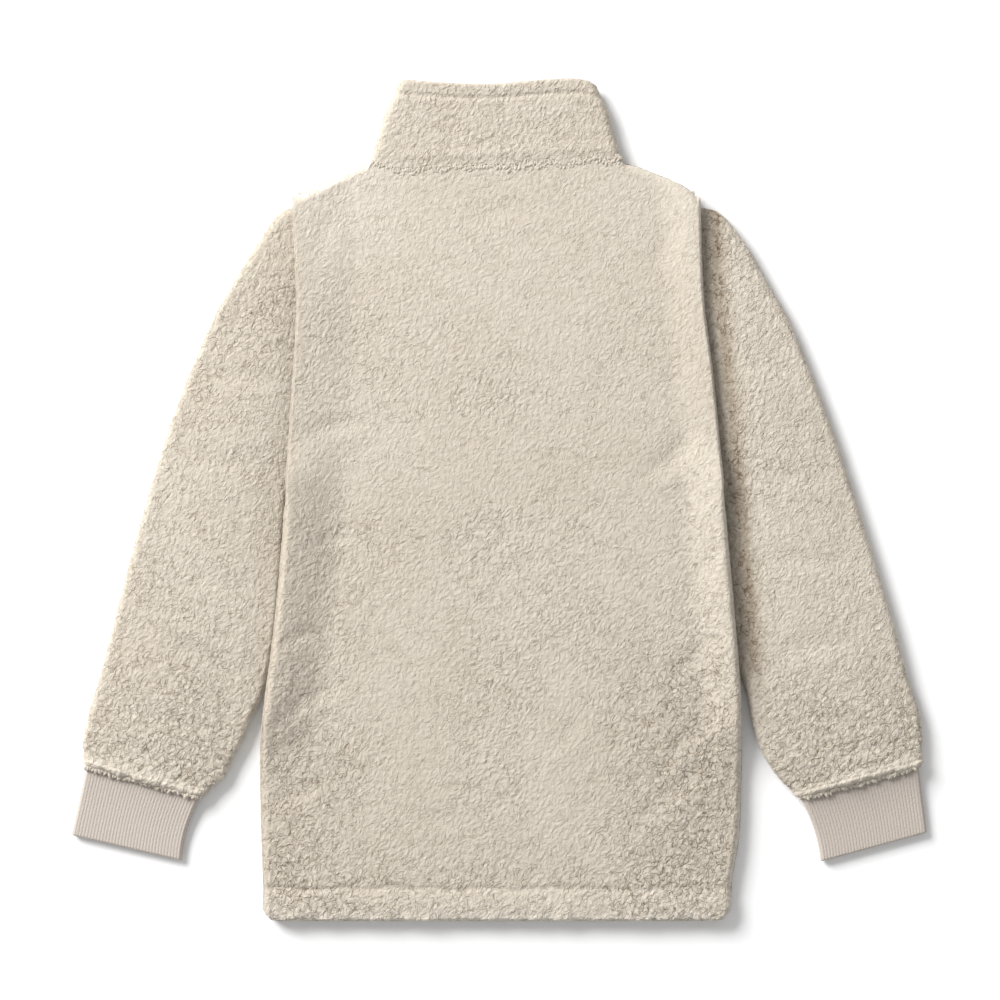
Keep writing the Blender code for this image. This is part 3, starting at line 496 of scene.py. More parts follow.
def cuffSurface(side, inner):
    # A flattened tube whose radius swells and falls as a power of |sin|, once for each rib.
    innerSide, outerEnd, innerEnd = (np.array(point) for point in cuffs[side])
    outline, fold, _, along, ahead, reach = sleeveEnd(side)
    seam = ahead * (reach + cloth["seamGap"])
    outerTop = outline + along * cuffs["seamInset"] + seam
    innerTop = fold - along * cuffs["seamInset"] + seam
    step = np.linspace(0, 1, cuffs["ringSteps"] + 1)[:, None]
    outer = outerTop + (outerEnd - outerTop) * step
    bowed = ((1 - step) ** 2 * innerTop + step ** 2 * innerEnd
             + 2 * step * (1 - step) * (2 * innerSide - (innerTop + innerEnd) / 2))
    width = np.linalg.norm(bowed - outer, axis=1, keepdims=True)
    direction = (bowed - outer) / width
    height, rise = cuffs["height"], cuffs["ribRise"]
    # Both ends of the wall are rounded over its thickness.
    rounded = np.sqrt(np.clip(np.minimum(step, 1 - step) / cuffs["endRound"], 0, 1))
    middleOfWall = height / 2 - cuffs["wall"] / 2
    half = cuffs["wall"] / 2 * (cuffs["endShare"] + (1 - cuffs["endShare"]) * rounded)
    run = width - height - 2 * rise
    around = math.pi * height / 2
    count = cuffs["ribs"] * cuffs["ribSteps"]
    place = np.arange(count) / count * (2 * run + 2 * around)
    turn = np.where(place < run, 0, np.where(place < run + around, (place - run) / around, np.where(
        place < 2 * run + around, 1, 1 + (place - 2 * run - around) / around)))
    across = np.where(place < run, place, np.where(place < run + around, run, np.where(
        place < 2 * run + around, 2 * run + around - place, 0)))
    rib = ribWave() ** cuffs["ribShape"]
    reach = middleOfWall - half if inner else middleOfWall + half + rise * rib * rounded
    x = height / 2 + rise + across + reach * np.sin(math.pi * turn)
    z = smoothCurve(cuffs["middle"], 1)(step) + reach * np.cos(math.pi * turn)
    return np.concatenate((outer[:, None] + x[..., None] * direction[:, None], z[..., None]), axis=-1)


collar = {
    "ridge": 0.8, "ridgeAt": 8.5, "ridgeWidth": 4.5,    # roll of pile over the neck seam
    "stitchAt": 12.4, "stitchWidth": 1.7, "stitchDepth": 1.0,    # topstitching, below the top edge
    "faceShare": 0.95,      # share of its height where the rounding of its top edge starts
    "waveShare": 0.15,      # share of its height that strays with the neck seam
    "endTurns": (20, 90), "noseStart": 0.05,
    "riseSteps": 60, "endSteps": 4, "backSteps": 148, "frontSteps": 68, "foldSteps": 14, "noseSteps": 6,
    "flat": (0.42, 0.066),
}
collarFolds = [(0.0, -101.6, 100.0), (0.2, -98.0, 97.4), (0.4, -94.2, 93.2), (0.6, -90.0, 90.4),
               (0.8, -83.4, 84.8), (1.0, -77.6, 79.2)]    # rise, left, right
collarTop = [(0.0, 672.6), (0.16, 670.6), (0.32, 668.9), (0.5, 668.8), (0.75, 672.2), (0.92, 672.2),
             (1.0, 668.0)]                                   # across, y


def collarSurface(inner):
    # Across: front edge, front, half circle, back, half circle, front, front edge. Up: seam to top edge.
    wall, gap, half = cloth["wall"], cloth["seamGap"], cloth["bodyHeight"] / 2
    faceShare, endSteps, riseSteps = (collar[key] for key in ("faceShare", "endSteps", "riseSteps"))
    endTurns = np.radians(np.linspace(*collar["endTurns"], endSteps + 1))
    rise = np.concatenate((np.zeros(endSteps), np.linspace(0, faceShare, riseSteps + 1),
                           np.full(endSteps, faceShare)))[:, None]
    turn = np.concatenate((endTurns[:-1], np.full(riseSteps + 1, math.pi / 2), endTurns[:-1][::-1]))[:, None]
    corner = np.where(rise > 0.5, wall / 2, cloth["seamCorner"])
    nose = corner * (1 - np.sin(turn))
    inset = wall - nose if inner else nose
    radius = half - inset
    left, right = smoothCurve(collarFolds, 1)(rise), smoothCurve(collarFolds, 2)(rise)
    fold = np.linspace(-math.pi / 2, math.pi / 2, collar["foldSteps"] + 1)
    back = np.linspace(0, 1, collar["backSteps"] + 1)[1:-1]
    front = np.linspace(0, 1, collar["frontSteps"] + 1)[1:-1]
    noseTurn = np.linspace(collar["noseStart"], math.pi / 2, collar["noseSteps"] + 1)
    edgeX = cloth["zipGap"] + wall / 2 * (1 - np.cos(noseTurn)) + 0 * rise
    edgeZ = (inset - wall / 2) * np.sin(noseTurn) + wall / 2 - half
    leftFold, rightFold = left + half - radius * np.cos(fold), right - half + radius * np.cos(fold[::-1])
    faceLeft = -edgeX[:, -1:] + (leftFold[:, :1] + edgeX[:, -1:]) * front
    faceRight = rightFold[:, -1:] + (edgeX[:, -1:] - rightFold[:, -1:]) * front
    faceBack = leftFold[:, -1:] + (rightFold[:, :1] - leftFold[:, -1:]) * back
    x = np.concatenate((-edgeX, faceLeft, leftFold, faceBack, rightFold, faceRight, edgeX[:, ::-1]), axis=1)
    z = np.concatenate((edgeZ, -radius + 0 * front, radius * np.sin(fold), radius + 0 * back,
                        radius * np.sin(fold[::-1]), -radius + 0 * front, edgeZ[:, ::-1]), axis=1)
    ones, turning = np.ones(len(noseTurn) + len(front)), eased(0.5 - np.sin(fold) / 2)
    onFront = np.concatenate((ones, turning, 0 * back, turning[::-1], ones))
    across = np.clip((x - left) / (right - left), 0, 1)
    seamX = cloth["neck"][0] + (cloth["neck"][1] - cloth["neck"][0]) * across
    edges = len(noseTurn)
    seamX[:, :edges], seamX[:, -edges:] = x[:, :edges], x[:, -edges:]
    backSeam = shoulderLine(seamX) + gap
    seam = backSeam + (frontNeckline(seamX) - shoulderLine(seamX)) * onFront
    tall = smoothCurve(collarTop, 1)(across) - backSeam
    share = rise / faceShare
    y = (seam + tall * rise + cloth["seamCorner"] * (1 - share)
         + np.where(rise > 0.5, 1, -1) * corner * np.cos(turn)
         + seamWander(x) * (1 - onFront) * eased(1 - share / collar["waveShare"]))
    if not inner:
        ridge = collar["ridge"] * np.exp(-((tall * rise - collar["ridgeAt"]) / collar["ridgeWidth"]) ** 2)
        stitch = np.exp(-((tall * (1 - rise) - collar["stitchAt"]) / collar["stitchWidth"]) ** 2)
        z = z + (ridge - collar["stitchDepth"] * stitch) * (1 - onFront)
    return np.stack((x, y, half + z), axis=-1)


creases = {
    # start, end, bend at the middle, width and depth in mm, and the ridge raised beside it
    "back": [
        ((-158, 388), (-96, 396), 4, 7, 0.9, 0.3),
        ((112, 352), (160, 398), -5, 9, 1.4, 0.8),
        ((-180, 214), (-128, 232), 5, 6, 0.9, 0.3),
        ((-184, 150), (-118, 190), 6, 7, 1.0, 0.4),
        ((-180, 96), (-132, 118), -4, 6, 0.8, 0.3),
        ((98, 60), (182, 128), 8, 8, 1.2, 0.5),
        ((122, 108), (190, 176), 6, 7, 1.1, 0.5),
        ((132, 176), (186, 236), 5, 6, 0.8, 0.3),
        ((150, 250), (180, 304), 3, 6, 0.7, 0.3),
        ((-70, 84), (-8, 66), 5, 8, 0.6, 0.2),
        ((28, 132), (74, 170), -4, 8, 0.5, 0.2),
        ((-150, 300), (-112, 306), 2, 6, 0.6, 0.2),
        ((-142, 520), (-128, 566), 4, 8, 0.7, 0.2),
        ((122, 520), (140, 566), -5, 8, 0.7, 0.2),
        ((-30, 560), (44, 566), 3, 7, 0.5, 0.2),
    ],
    "sleeve_left": [
        ((-176, 430), (-236, 446), 4, 7, 0.9, 0.3), ((-190, 352), (-252, 372), -5, 8, 1.0, 0.3),
        ((-198, 262), (-264, 300), 6, 7, 0.9, 0.3), ((-204, 190), (-262, 224), -4, 8, 1.1, 0.4),
        ((-228, 150), (-300, 182), 5, 7, 0.9, 0.3), ((-250, 124), (-318, 140), -3, 6, 0.7, 0.3)],
    "sleeve_right": [
        ((186, 448), (244, 430), 4, 7, 0.8, 0.3), ((196, 366), (262, 352), -4, 8, 1.0, 0.3),
        ((206, 284), (282, 282), 5, 7, 0.8, 0.3), ((212, 206), (286, 222), 6, 8, 1.1, 0.4),
        ((236, 168), (318, 160), -5, 7, 0.9, 0.3), ((262, 132), (330, 138), 4, 6, 0.7, 0.3)],
}
ridgeAway = 1.7    # from a crease's line to its ridge, in its widths


def creaseDepth(x, y, rows):
    # Bell across a bent line with a raised ridge beside it, both fading towards the line's ends.
    depth = 0.0
    for start, end, bend, width, deep, ridge in rows:
        run = np.subtract(end, start)
        length = np.hypot(*run)
        t = ((x - start[0]) * run[0] + (y - start[1]) * run[1]) / length ** 2
        away = ((y - start[1]) * run[0] - (x - start[0]) * run[1]) / length
        fade = np.sin(math.pi * np.clip(t, 0, 1))
        away = (away - bend * fade) / width
        depth = depth + fade * (deep * np.exp(-away ** 2) - ridge * np.exp(-(away + ridgeAway) ** 2))
    return depth


def pileMarks(depth, coarse):
    # Painted shade: the mark darkens the pile's colour with its depth below the tips.
    return {"crack": np.clip(depth / pile["fullShadeDepth"], 0, 1), "coarse": coarse + 0 * depth}


backPile = {
    "coarse": 0.2, "patches": (0.2, 60.0, 40), "least": 0.04,     # patches: height, size and noise number
    "right": (50, 110), "left": (70, 110), "low": (-330, 190),    # where it coarsens: from, and over, in mm
    "hem": (-80, 60), "upper": (460, 100),
    "rightMore": 0.6, "leftMore": 0.5, "hemMore": 0.35, "upperLess": 0.2,
    "rim": 15.0, "rimShare": 0.35, "sink": 0.9,
}
panelPaintedLight = {     # painted shade by the left edge, painted light on its slope, the hem and upper left
    "edgePaintedShade": 1.8, "edgeReach": 2.8,
    "slopePaintedLight": 0.4, "slope": (24.0, 15.0), "slopeFrom": (110, 60),
    "hemPaintedLight": 1.5, "hemReach": 14.0,
    "shoulderPaintedLight": 0.2, "shoulder": (430, 140), "leftMore": 1.4, "leftOver": 120.0,
}
hemWorks = {
    "swell": 1.2, "band": (13.0, 9.5),
    "depth": 1.2, "groove": 1.9, "grooveWaves": ((0.4, 9.0, 41),),
    "lineWaves": ((1.3, 14.0, 42), (0.7, 5.0, 43)),
    "lumps": ((0.9, 7.0, 44),), "lumpReach": 7.0,
}


def backRelief(outer):
    # Coarse curls by the hem and low at both sides, fine ones in the middle; creases and pile add up.
    x, y = outer[..., 0], outer[..., 1]
    fromLeft, fromRight = x - leftEdge(y), rightEdge(y) - x
    low, upper = easedFrom(-y, *backPile["low"]), easedFrom(y, *backPile["upper"])
    rimShare, toRim = backPile["rimShare"], np.minimum(fromLeft, fromRight) / backPile["rim"]
    coarse = np.clip(backPile["coarse"] + stray(outer, (backPile["patches"],))
                     + backPile["rightMore"] * easedFrom(x, *backPile["right"]) * low
                     + backPile["leftMore"] * easedFrom(-x, *backPile["left"]) * low
                     + backPile["hemMore"] * easedFrom(-y, *backPile["hem"])
                     - backPile["upperLess"] * upper, backPile["least"], 1)
    coarse = coarse * (rimShare + (1 - rimShare) * eased(toRim))
    depth = pileRelief(outer, coarse, 11)
    marks = pileMarks(depth, coarse)
    # Painted shade along the left edge; painted light on its slope, by the hem and to the upper left.
    leftShoulder = 1 + panelPaintedLight["leftMore"] * eased(-x / panelPaintedLight["leftOver"])
    marks["crack"] = (marks["crack"] + panelPaintedLight["edgePaintedShade"] * np.exp(-fromLeft / panelPaintedLight["edgeReach"])
                      - (panelPaintedLight["slopePaintedLight"] * bell(fromLeft, *panelPaintedLight["slope"])
                         * easedFrom(y, *panelPaintedLight["slopeFrom"]))
                      - panelPaintedLight["hemPaintedLight"] * np.exp(-y / panelPaintedLight["hemReach"])
                      - panelPaintedLight["shoulderPaintedLight"] * easedFrom(y, *panelPaintedLight["shoulder"]) * leftShoulder)
    band = hemWorks["swell"] * bell(y, *hemWorks["band"])
    line = cloth["hemBand"] + stray(outer, hemWorks["lineWaves"])
    width = hemWorks["groove"] * (1 + stray(outer, hemWorks["grooveWaves"]))
    groove = hemWorks["depth"] * bell(y, line, width)
    lumps = stray(outer, hemWorks["lumps"]) * np.exp(-(y / hemWorks["lumpReach"]) ** 2)
    return depth + creaseDepth(x, y, creases["back"]) + backPile["sink"] + groove + lumps - band, marks


sleevePile = {
    "coarse": 0.4, "patches": (0.22, 60.0, 50), "least": 0.05,
    "endMore": 0.5, "endFrom": (0.6, 0.33),    # how much coarser by the cuff: from and over shares of the way
    "roll": 1.0, "rollAt": (7.0, 9.0),      # swell of the end's roll of pile, its place and width
    "overhang": 2.0, "overReach": 5.0,
    "lumps": ((0.5, 7.0, 51), (0.25, 3.2, 52)), "lumpBase": 0.5, "lumpMost": 1.2,
    # the roll's paler share is painted light on its faces turned from the light
    "rollFrom": (5.0, 12.0), "rollFiner": 0.7, "rollPaintedLight": 0.35,
    # painted light and shade along each sleeve: left darker at the armhole and paler to the cuff, right paler
    # most at the armhole
    "paintedShading": {"left": 0.8, "right": -0.6}, "paintedShadingFrom": {"left": 0.45, "right": 1.2},
    "groove": 2.3, "grooveShadowAt": (11.5, 8.5), "grooveShadowOver": 50.0,    # painted shadow beside the body's edge, which shades the sleeve there
    "grooveShadeShare": 0.3,     # share of its height above which the painted shadow lies
    "endFade": (-3.0, 6.0), "sink": 0.7,
}


def sleeveRelief(side):
    def relief(outer):
        # Curls coarsen towards the cuff and swell into a roll that hangs over it.
        x, y = outer[..., 0], outer[..., 1]
        down = np.clip(np.arange(outer.shape[0])[:, None] / sleeves["ringSteps"], 0, 1) + 0 * x
        toEnd = (1 - down) * sleeves["length"]
        more = sleevePile["endMore"] * easedFrom(down, *sleevePile["endFrom"])
        coarse = np.clip(sleevePile["coarse"] + stray(outer, (sleevePile["patches"],)) + more,
                         sleevePile["least"], 1)
        depth = pileRelief(outer, coarse, 21 if side == "left" else 31)
        lumps = np.clip(sleevePile["lumpBase"] + stray(outer, sleevePile["lumps"]), 0, sleevePile["lumpMost"])
        roll = (sleevePile["roll"] * bell(toEnd, *sleevePile["rollAt"])
                + sleevePile["overhang"] * lumps * eased(1 - toEnd / sleevePile["overReach"]))
        nearEnd = 1 - easedFrom(toEnd, *sleevePile["rollFrom"])
        marks = pileMarks(depth, coarse * (1 - sleevePile["rollFiner"] * nearEnd))
        # The end's roll takes no painted light on its faces turned from the light.
        marks["combed"] = 1 - nearEnd
        # Painted light on the end's roll, whose faces turn from the light.
        marks["crack"] = (marks["crack"] - sleevePile["rollPaintedLight"] * nearEnd
                          # Painted light and shade along the sleeve, set for each side.
                          - sleevePile["paintedShading"][side] * (down - sleevePile["paintedShadingFrom"][side]))
        if side == "right":
            # Painted shadow on the sleeve's top beside the body's right edge.
            beside = np.clip(x - rightEdge(y), 0, None)
            marks["crack"] = marks["crack"] + (
                sleevePile["groove"] * bell(beside, *sleevePile["grooveShadowAt"])
                * easedFrom(y, sleeves["pressFrom"], sleevePile["grooveShadowOver"])
                * (outer[..., 2] > sleeves["height"] * sleevePile["grooveShadeShare"]))
        folds = creaseDepth(x, y, creases["sleeve_" + side])
        return depth * easedFrom(toEnd, *sleevePile["endFade"]) + folds + sleevePile["sink"] - roll, marks
    return relief


def plainRelief(coarse, salt, scale=1.0, sink=0.3):
    def relief(outer):
        depth = pileRelief(outer, coarse, salt) * scale
        return depth + sink, pileMarks(depth, coarse)
    return relief


def ribRelief(outer):
    # The rib's own grooves are in its surface; the mark tells the finish where to paint shade in them.
    return 0 * outer[..., 0], {"crack": 1 - ribWave() + 0 * outer[..., 0]}


class Wire:
    # A node's output; arithmetic on it adds Math nodes.
    def __init__(self, finish, socket):
        self.finish, self.socket = finish, socket

    def maths(self, operation, first, second):
        return self.finish.node("ShaderNodeMath", {"operation": operation}, {0: first, 1: second})

    def __add__(self, other):
        return self.maths("ADD", self, other)

    def __sub__(self, other):
        return self.maths("SUBTRACT", self, other)

    def __rsub__(self, other):
        return self.maths("SUBTRACT", other, self)

    def __mul__(self, other):
        return self.maths("MULTIPLY", self, other)

    def __pow__(self, other):
        return self.maths("POWER", self, other)

    def absolute(self):
        return self.maths("ABSOLUTE", self, 0.0)

    __radd__, __rmul__ = __add__, __mul__


class Finish:
    # A material with one Principled shader and a method that makes any node.
    def __init__(self, name, constants):
        self.material = bpy.data.materials.new(name)
        self.material.use_nodes = True
        self.tree = self.material.node_tree
        self.shader = self.tree.nodes["Principled BSDF"]
        for key, value in constants.items():
            self.shader.inputs[key].default_value = value

    def node(self, kind, settings, inputs, output=0):
        made = self.tree.nodes.new(kind)
        for key, value in settings.items():
            if key == "stops":
                while len(made.color_ramp.elements) < len(value):
                    made.color_ramp.elements.new(1.0)
                for element, (position, colour) in zip(made.color_ramp.elements, value):
                    element.position, element.color = position, (*colour, 1.0)
            else:
                setattr(made, key, value)
        for key, value in inputs.items():
            if isinstance(value, Wire):
                self.tree.links.new(value.socket, made.inputs[key])
            else:
                made.inputs[key].default_value = value
        return Wire(self, made.outputs[output])

    def feed(self, **wires):
        for key, wire in wires.items():
            self.tree.links.new(wire.socket, self.shader.inputs[key.replace("_", " ")])

    def place(self):
        return self.node("ShaderNodeTexCoord", {}, {}, "Object")

    def mark(self, name):
        return self.node("ShaderNodeAttribute", {"attribute_name": name}, {}, "Fac")

    def noise(self, vector, scale, detail, output="Fac"):
        return self.node("ShaderNodeTexNoise", {},
                         {"Vector": vector, "Scale": scale, "Detail": detail}, output)

    def cells(self, vector, scale):
        return self.node("ShaderNodeTexVoronoi", {"feature": "F1"},
                         {"Vector": vector, "Scale": scale}, "Distance")

    def ramp(self, wire, places, colours):
        return self.node("ShaderNodeValToRGB", {"stops": list(zip(places, colours))}, {0: wire}, "Color")

    def bump(self, height, distance):
        return self.node("ShaderNodeBump", {},
                         {"Strength": 1.0, "Distance": distance, "Height": height}, "Normal")

    def mapped(self, wire, low, high, to, smooth=False):
        kind = {"interpolation_type": "SMOOTHSTEP"} if smooth else {}
        return self.node("ShaderNodeMapRange", kind, {"Value": wire, "From Min": low, "From Max": high,
                                                      "To Min": to[0], "To Max": to[1]})

    def mix(self, factor, first, second, blend="MIX"):
        first, second = (value if isinstance(value, Wire) else (*value, 1) for value in (first, second))
        return self.node("ShaderNodeMix", {"data_type": "RGBA", "blend_type": blend},
                         {0: factor, 6: first, 7: second}, 2)


fleeceLook = {
    "colours": ((0.655, 0.605, 0.525), (0.578, 0.524, 0.448), (0.500, 0.446, 0.370), (0.150, 0.100, 0.055)),
    "depths": (0.0, 0.12, 0.34, 0.95),      # where the pale, tip, body and crack colours lie: painted shade deepens the colour with depth
    "tints": ((0.955, 0.945, 0.93), (1.0, 1.0, 1.0)), "tintLevels": (0.35, 0.65), "tintScale": 9.0,
    "grain": (0.0026, 0.0040), "curl": (0.0033, 0.0044), "fibre": (0.0007, 0.0024),    # widths and lengths
    "cobble": (0.0058, 0.0070), "wrinkle": (0.0032, 0.0040),
    "strays": ((90.0, 0.0065), (420.0, 0.0022)),      # scale and reach of the curls' bends
    "grainGain": 1.6, "grainBase": 0.3,
    "crackHalf": (0.05, 0.06), "crackShare": (0.62, 0.38),    # of cobbles and of wrinkles
    "gapScale": 110.0, "gapCoarse": 0.22, "gapLevels": (0.46, 0.64), "gapLeast": 0.25, "fineLeast": 0.35,
    "reliefCoarse": 0.3, "reliefLeast": 0.6,
    # after the heights: painted shade from the mark, from grain and curl hollows and from crack lines
    "heights": (0.8, 0.5, 0.34, 0.7), "shadeGains": (0.2, 0.2, 0.6),
    "bump": 0.00085, "sheen": 0.3, "sheenRoughness": 0.45, "roughness": 0.95, "specular": 0.2,
}


def fleeceFinish():
    # Height is 1 - (0.8 grains + 0.5 curls) + 0.34 fuzz - 0.7 cracks, and cracks run where two noises
    # cross their middle level; painted shade darkens the colour with depth, in hollows and cracks.
    look = fleeceLook
    finish = Finish("fleece_pile", {"Roughness": look["roughness"], "Sheen Weight": look["sheen"],
                                    "Sheen Roughness": look["sheenRoughness"],
                                    "Specular IOR Level": look["specular"]})
    place = finish.place()
    curly = place
    for scale, reach in look["strays"]:
        shift = finish.node("ShaderNodeVectorMath", {"operation": "SCALE"},
                            {0: finish.noise(place, scale, 1.0, "Color"), "Scale": reach})
        curly = finish.node("ShaderNodeVectorMath", {"operation": "ADD"}, {0: curly, 1: shift})

    def laid(key):
        width, length = look[key]
        return finish.node("ShaderNodeMapping", {"vector_type": "TEXTURE"}, {
            "Vector": curly, "Rotation": (0.0, 0.0, pile["lean"] - math.pi / 2),
            "Scale": (width, length, width)})

    grains = finish.noise(laid("grain"), 1.0, 1.0) * look["grainGain"] - look["grainBase"]
    curls = finish.cells(laid("curl"), 1.0)
    fuzz = finish.noise(laid("fibre"), 1.0, 1.0)
    coarse, crack = finish.mark("coarse"), finish.mark("crack")
    line = 0.0
    for key, half, share in zip(("cobble", "wrinkle"), look["crackHalf"], look["crackShare"]):
        level = (finish.noise(laid(key), 1.0, 1.0) - 0.5).absolute()
        line = finish.mapped(level, 0.0, half, (1.0, 0.0), True) * share + line
    gaps = finish.mapped(finish.noise(place, look["gapScale"], 1.0) + coarse * look["gapCoarse"],
                         *look["gapLevels"], (look["gapLeast"], 1.0), True)
    line = line * gaps * (look["fineLeast"] + coarse * (1 - look["fineLeast"]))
    relief = finish.mapped(coarse, 0.0, look["reliefCoarse"], (look["reliefLeast"], 1.0))
    grainHigh, curlHigh, fuzzHigh, lineHigh = look["heights"]
    height = 1 - (grains * grainHigh + curls * curlHigh) * relief + fuzz * fuzzHigh - line * lineHigh
    # Painted shade: the colour darkens with the mark, in grain and curl hollows and along crack lines.
    markShadeGain, curlShadeGain, lineShadeGain = look["shadeGains"]
    depth = crack * markShadeGain + (grains + curls) * curlShadeGain + line * lineShadeGain
    colour = finish.ramp(depth, look["depths"], look["colours"])
    tint = finish.ramp(finish.noise(place, look["tintScale"], 3.0), look["tintLevels"], look["tints"])
    finish.feed(Base_Color=finish.mix(1.0, colour, tint, "MULTIPLY"),
                Normal=finish.bump(height, look["bump"]))
    return finish.material


ribLook = {
    # ridge and groove colours: painted shade makes the grooves darker
    "ridge": (0.500, 0.445, 0.395), "groove": (0.40, 0.345, 0.30), "grooveShadeShare": 0.42, "grooveShape": 1.6,
    "shades": ((0.93, 0.93, 0.93), (1.04, 1.04, 1.04)), "shadeLevels": (0.3, 0.7), "yarnScale": 900.0,
    "stitch": 0.0013, "bump": 0.0002, "sheen": 0.2, "roughness": 0.9, "specular": 0.2,
}


def ribFinish():
    # Fine knit: painted shade darkens the colour in the rib's grooves, and small round loops and yarn raise
    # it.
    look = ribLook
    finish = Finish("rib_knit", {"Roughness": look["roughness"], "Sheen Weight": look["sheen"],
                                 "Specular IOR Level": look["specular"]})
    place = finish.place()
    yarn = finish.noise(place, look["yarnScale"], 2.0)
    loops = finish.cells(place, 1 / look["stitch"])
    grooves = finish.mark("crack") ** look["grooveShape"] * look["grooveShadeShare"]
    finish.feed(Base_Color=finish.mix(1.0, finish.mix(grooves, look["ridge"], look["groove"]),
                                      finish.ramp(yarn, look["shadeLevels"], look["shades"]), "MULTIPLY"),
                Normal=finish.bump(yarn + (1 - loops), look["bump"]))
    return finish.material


fleece, rib = fleeceFinish(), ribFinish()


def always(y):
    return np.ones_like(y)


def armhole(y):
    return (sleeves["tuck"] + 2 * cloth["seamGap"]) * sideOpened(y)


panels = {
    "back": {"left": leftEdge, "right": rightEdge, "top": shoulderLine, "openedLeft": sideOpened,
             "openedRight": sideOpened, "sign": 1, "arcSteps": 12, "acrossSteps": 216, "hemSteps": 8,
             "upSteps": 356, "flat": (0.388, 0.631), "area": 0.238, "relief": backRelief},
    "front_left": {"left": lambda y: leftEdge(y) + armhole(y), "right": lambda y: -cloth["zipGap"] + 0 * y,
                   "openedLeft": sideOpened, "openedRight": always, "flat": (0.190, 0.631), "area": 0.112,
                   "relief": plainRelief(0.5, 61, 0.7)},
    "front_right": {"left": lambda y: cloth["zipGap"] + 0 * y, "right": lambda y: rightEdge(y) - armhole(y),
                    "openedLeft": always, "openedRight": sideOpened, "flat": (0.196, 0.631), "area": 0.116,
                    "relief": plainRelief(0.5, 71, 0.7)},
}
for node in ("front_left", "front_right"):
    panels[node].update(top=frontNeckline, sign=-1, arcSteps=8, acrossSteps=72, hemSteps=4, upSteps=220)
for node, shape in panels.items():
    piece = makeWall(node + "_fleece", node, lambda inner: panelSurface(shape, inner), shape["relief"],
                     fleece, "fleece")
for side in ("left", "right"):
    piece = makeWall(f"sleeve_{side}_fleece", "sleeve_" + side, lambda inner: sleeveSurface(side, inner),
                     sleeveRelief(side), fleece, "fleece", wrap=True)
    piece = makeWall(f"cuff_{side}_rib", "cuff_" + side, lambda inner: cuffSurface(side, inner),
                     ribRelief, rib, "rib_knit", wrap=True)
piece = makeWall("collar_fleece", "collar", collarSurface, plainRelief(0.3, 81), fleece, "fleece")


tuftWorks = {
    "length": (4.2, 7.0), "width": (1.1, 1.7), "height": 0.9, "arch": 0.9, "bend": 1.2,    # radii and rises
    "rings": 5, "round": 6, "ends": (0.14, 0.86), "leastRadius": 0.0004,
    "neckStep": 1.0, "neckInset": (3, 2), "neckShift": 0.6, "neckStray": 1.5, "neckTurn": 0.75,
    "neckSink": 1.15, "neckRise": (-0.3, 0.25),
    "endCount": 150, "endTurn": 0.7, "endOver": 0.6, "endStray": 0.9, "endInset": 4.0,
    "endSink": 1.2, "endDrop": 3.0, "endDropOver": 9.0, "endRise": (-0.7, 0.5),
}


def makeTufts(name, middles, aheads, normals, seed):
    # Bent beans: radius w * sqrt(sin(pi s)) along an arc that dips into the cloth at both ends.
    random = np.random.default_rng(seed)
    count = len(middles)
    length = random.uniform(*tuftWorks["length"], count)[:, None, None]
    width = random.uniform(*tuftWorks["width"], count)[:, None, None]
    bend = (tuftWorks["bend"] * random.uniform(-1, 1, count))[:, None, None]
    rings, around = tuftWorks["rings"], tuftWorks["round"]
    s = np.concatenate(([0.0], np.linspace(*tuftWorks["ends"], rings - 2), [1.0]))[None, :, None]
    turn = (np.arange(around) * 2 * math.pi / around)[None, None, :]
    radius = np.sqrt(np.clip(np.sin(math.pi * s), tuftWorks["leastRadius"], 1))
    along = (s - 0.5) * length + 0 * turn
    across = bend * np.sin(math.pi * s) + width * radius * np.cos(turn)
    up = (tuftWorks["arch"] * (np.sin(math.pi * s) - 1)
          + tuftWorks["height"] * radius * np.sin(turn) + 0 * length)
    sides = np.cross(normals, aheads)
    points = middles[:, None, None] + sum(part[..., None] * axis[:, None, None] for part, axis in (
        (along, aheads), (across, sides), (up, normals)))
    points[..., 2] = np.maximum(points[..., 2], cloth["floorGap"])
    faces = rodFaces(rings, around, np.zeros(count, bool))
    return makePiece(name, None, points.reshape(-1, 3), faces, fleece)


def flatTufts(name, x, y, z, turns, seed):
    aheads = np.column_stack((np.cos(turns), np.sin(turns), 0 * turns))
    return makeTufts(name, np.column_stack((x, y, z)), aheads, np.tile((0.0, 0.0, 1.0), (len(x), 1)), seed)


def neckTufts():
    # Two rows of curls lie over the neck seam at stray places.
    random = np.random.default_rng(7)
    (left, right), (insetLeft, insetRight) = cloth["neck"], tuftWorks["neckInset"]
    x = np.tile(np.arange(left + insetLeft, right - insetRight, tuftWorks["neckStep"]), 2)
    count = len(x)
    x = x + random.uniform(-tuftWorks["neckShift"], tuftWorks["neckShift"], count)
    seam = shoulderLine(x) + seamWander(x) + cloth["seamGap"] / 2
    y = seam + random.normal(0, tuftWorks["neckStray"], count)
    z = cloth["bodyHeight"] - tuftWorks["neckSink"] + random.uniform(*tuftWorks["neckRise"], count)
    turns = math.pi / 2 + random.normal(0, tuftWorks["neckTurn"], count)
    return flatTufts("neck_seam_curls", x, y, z, turns, 8)


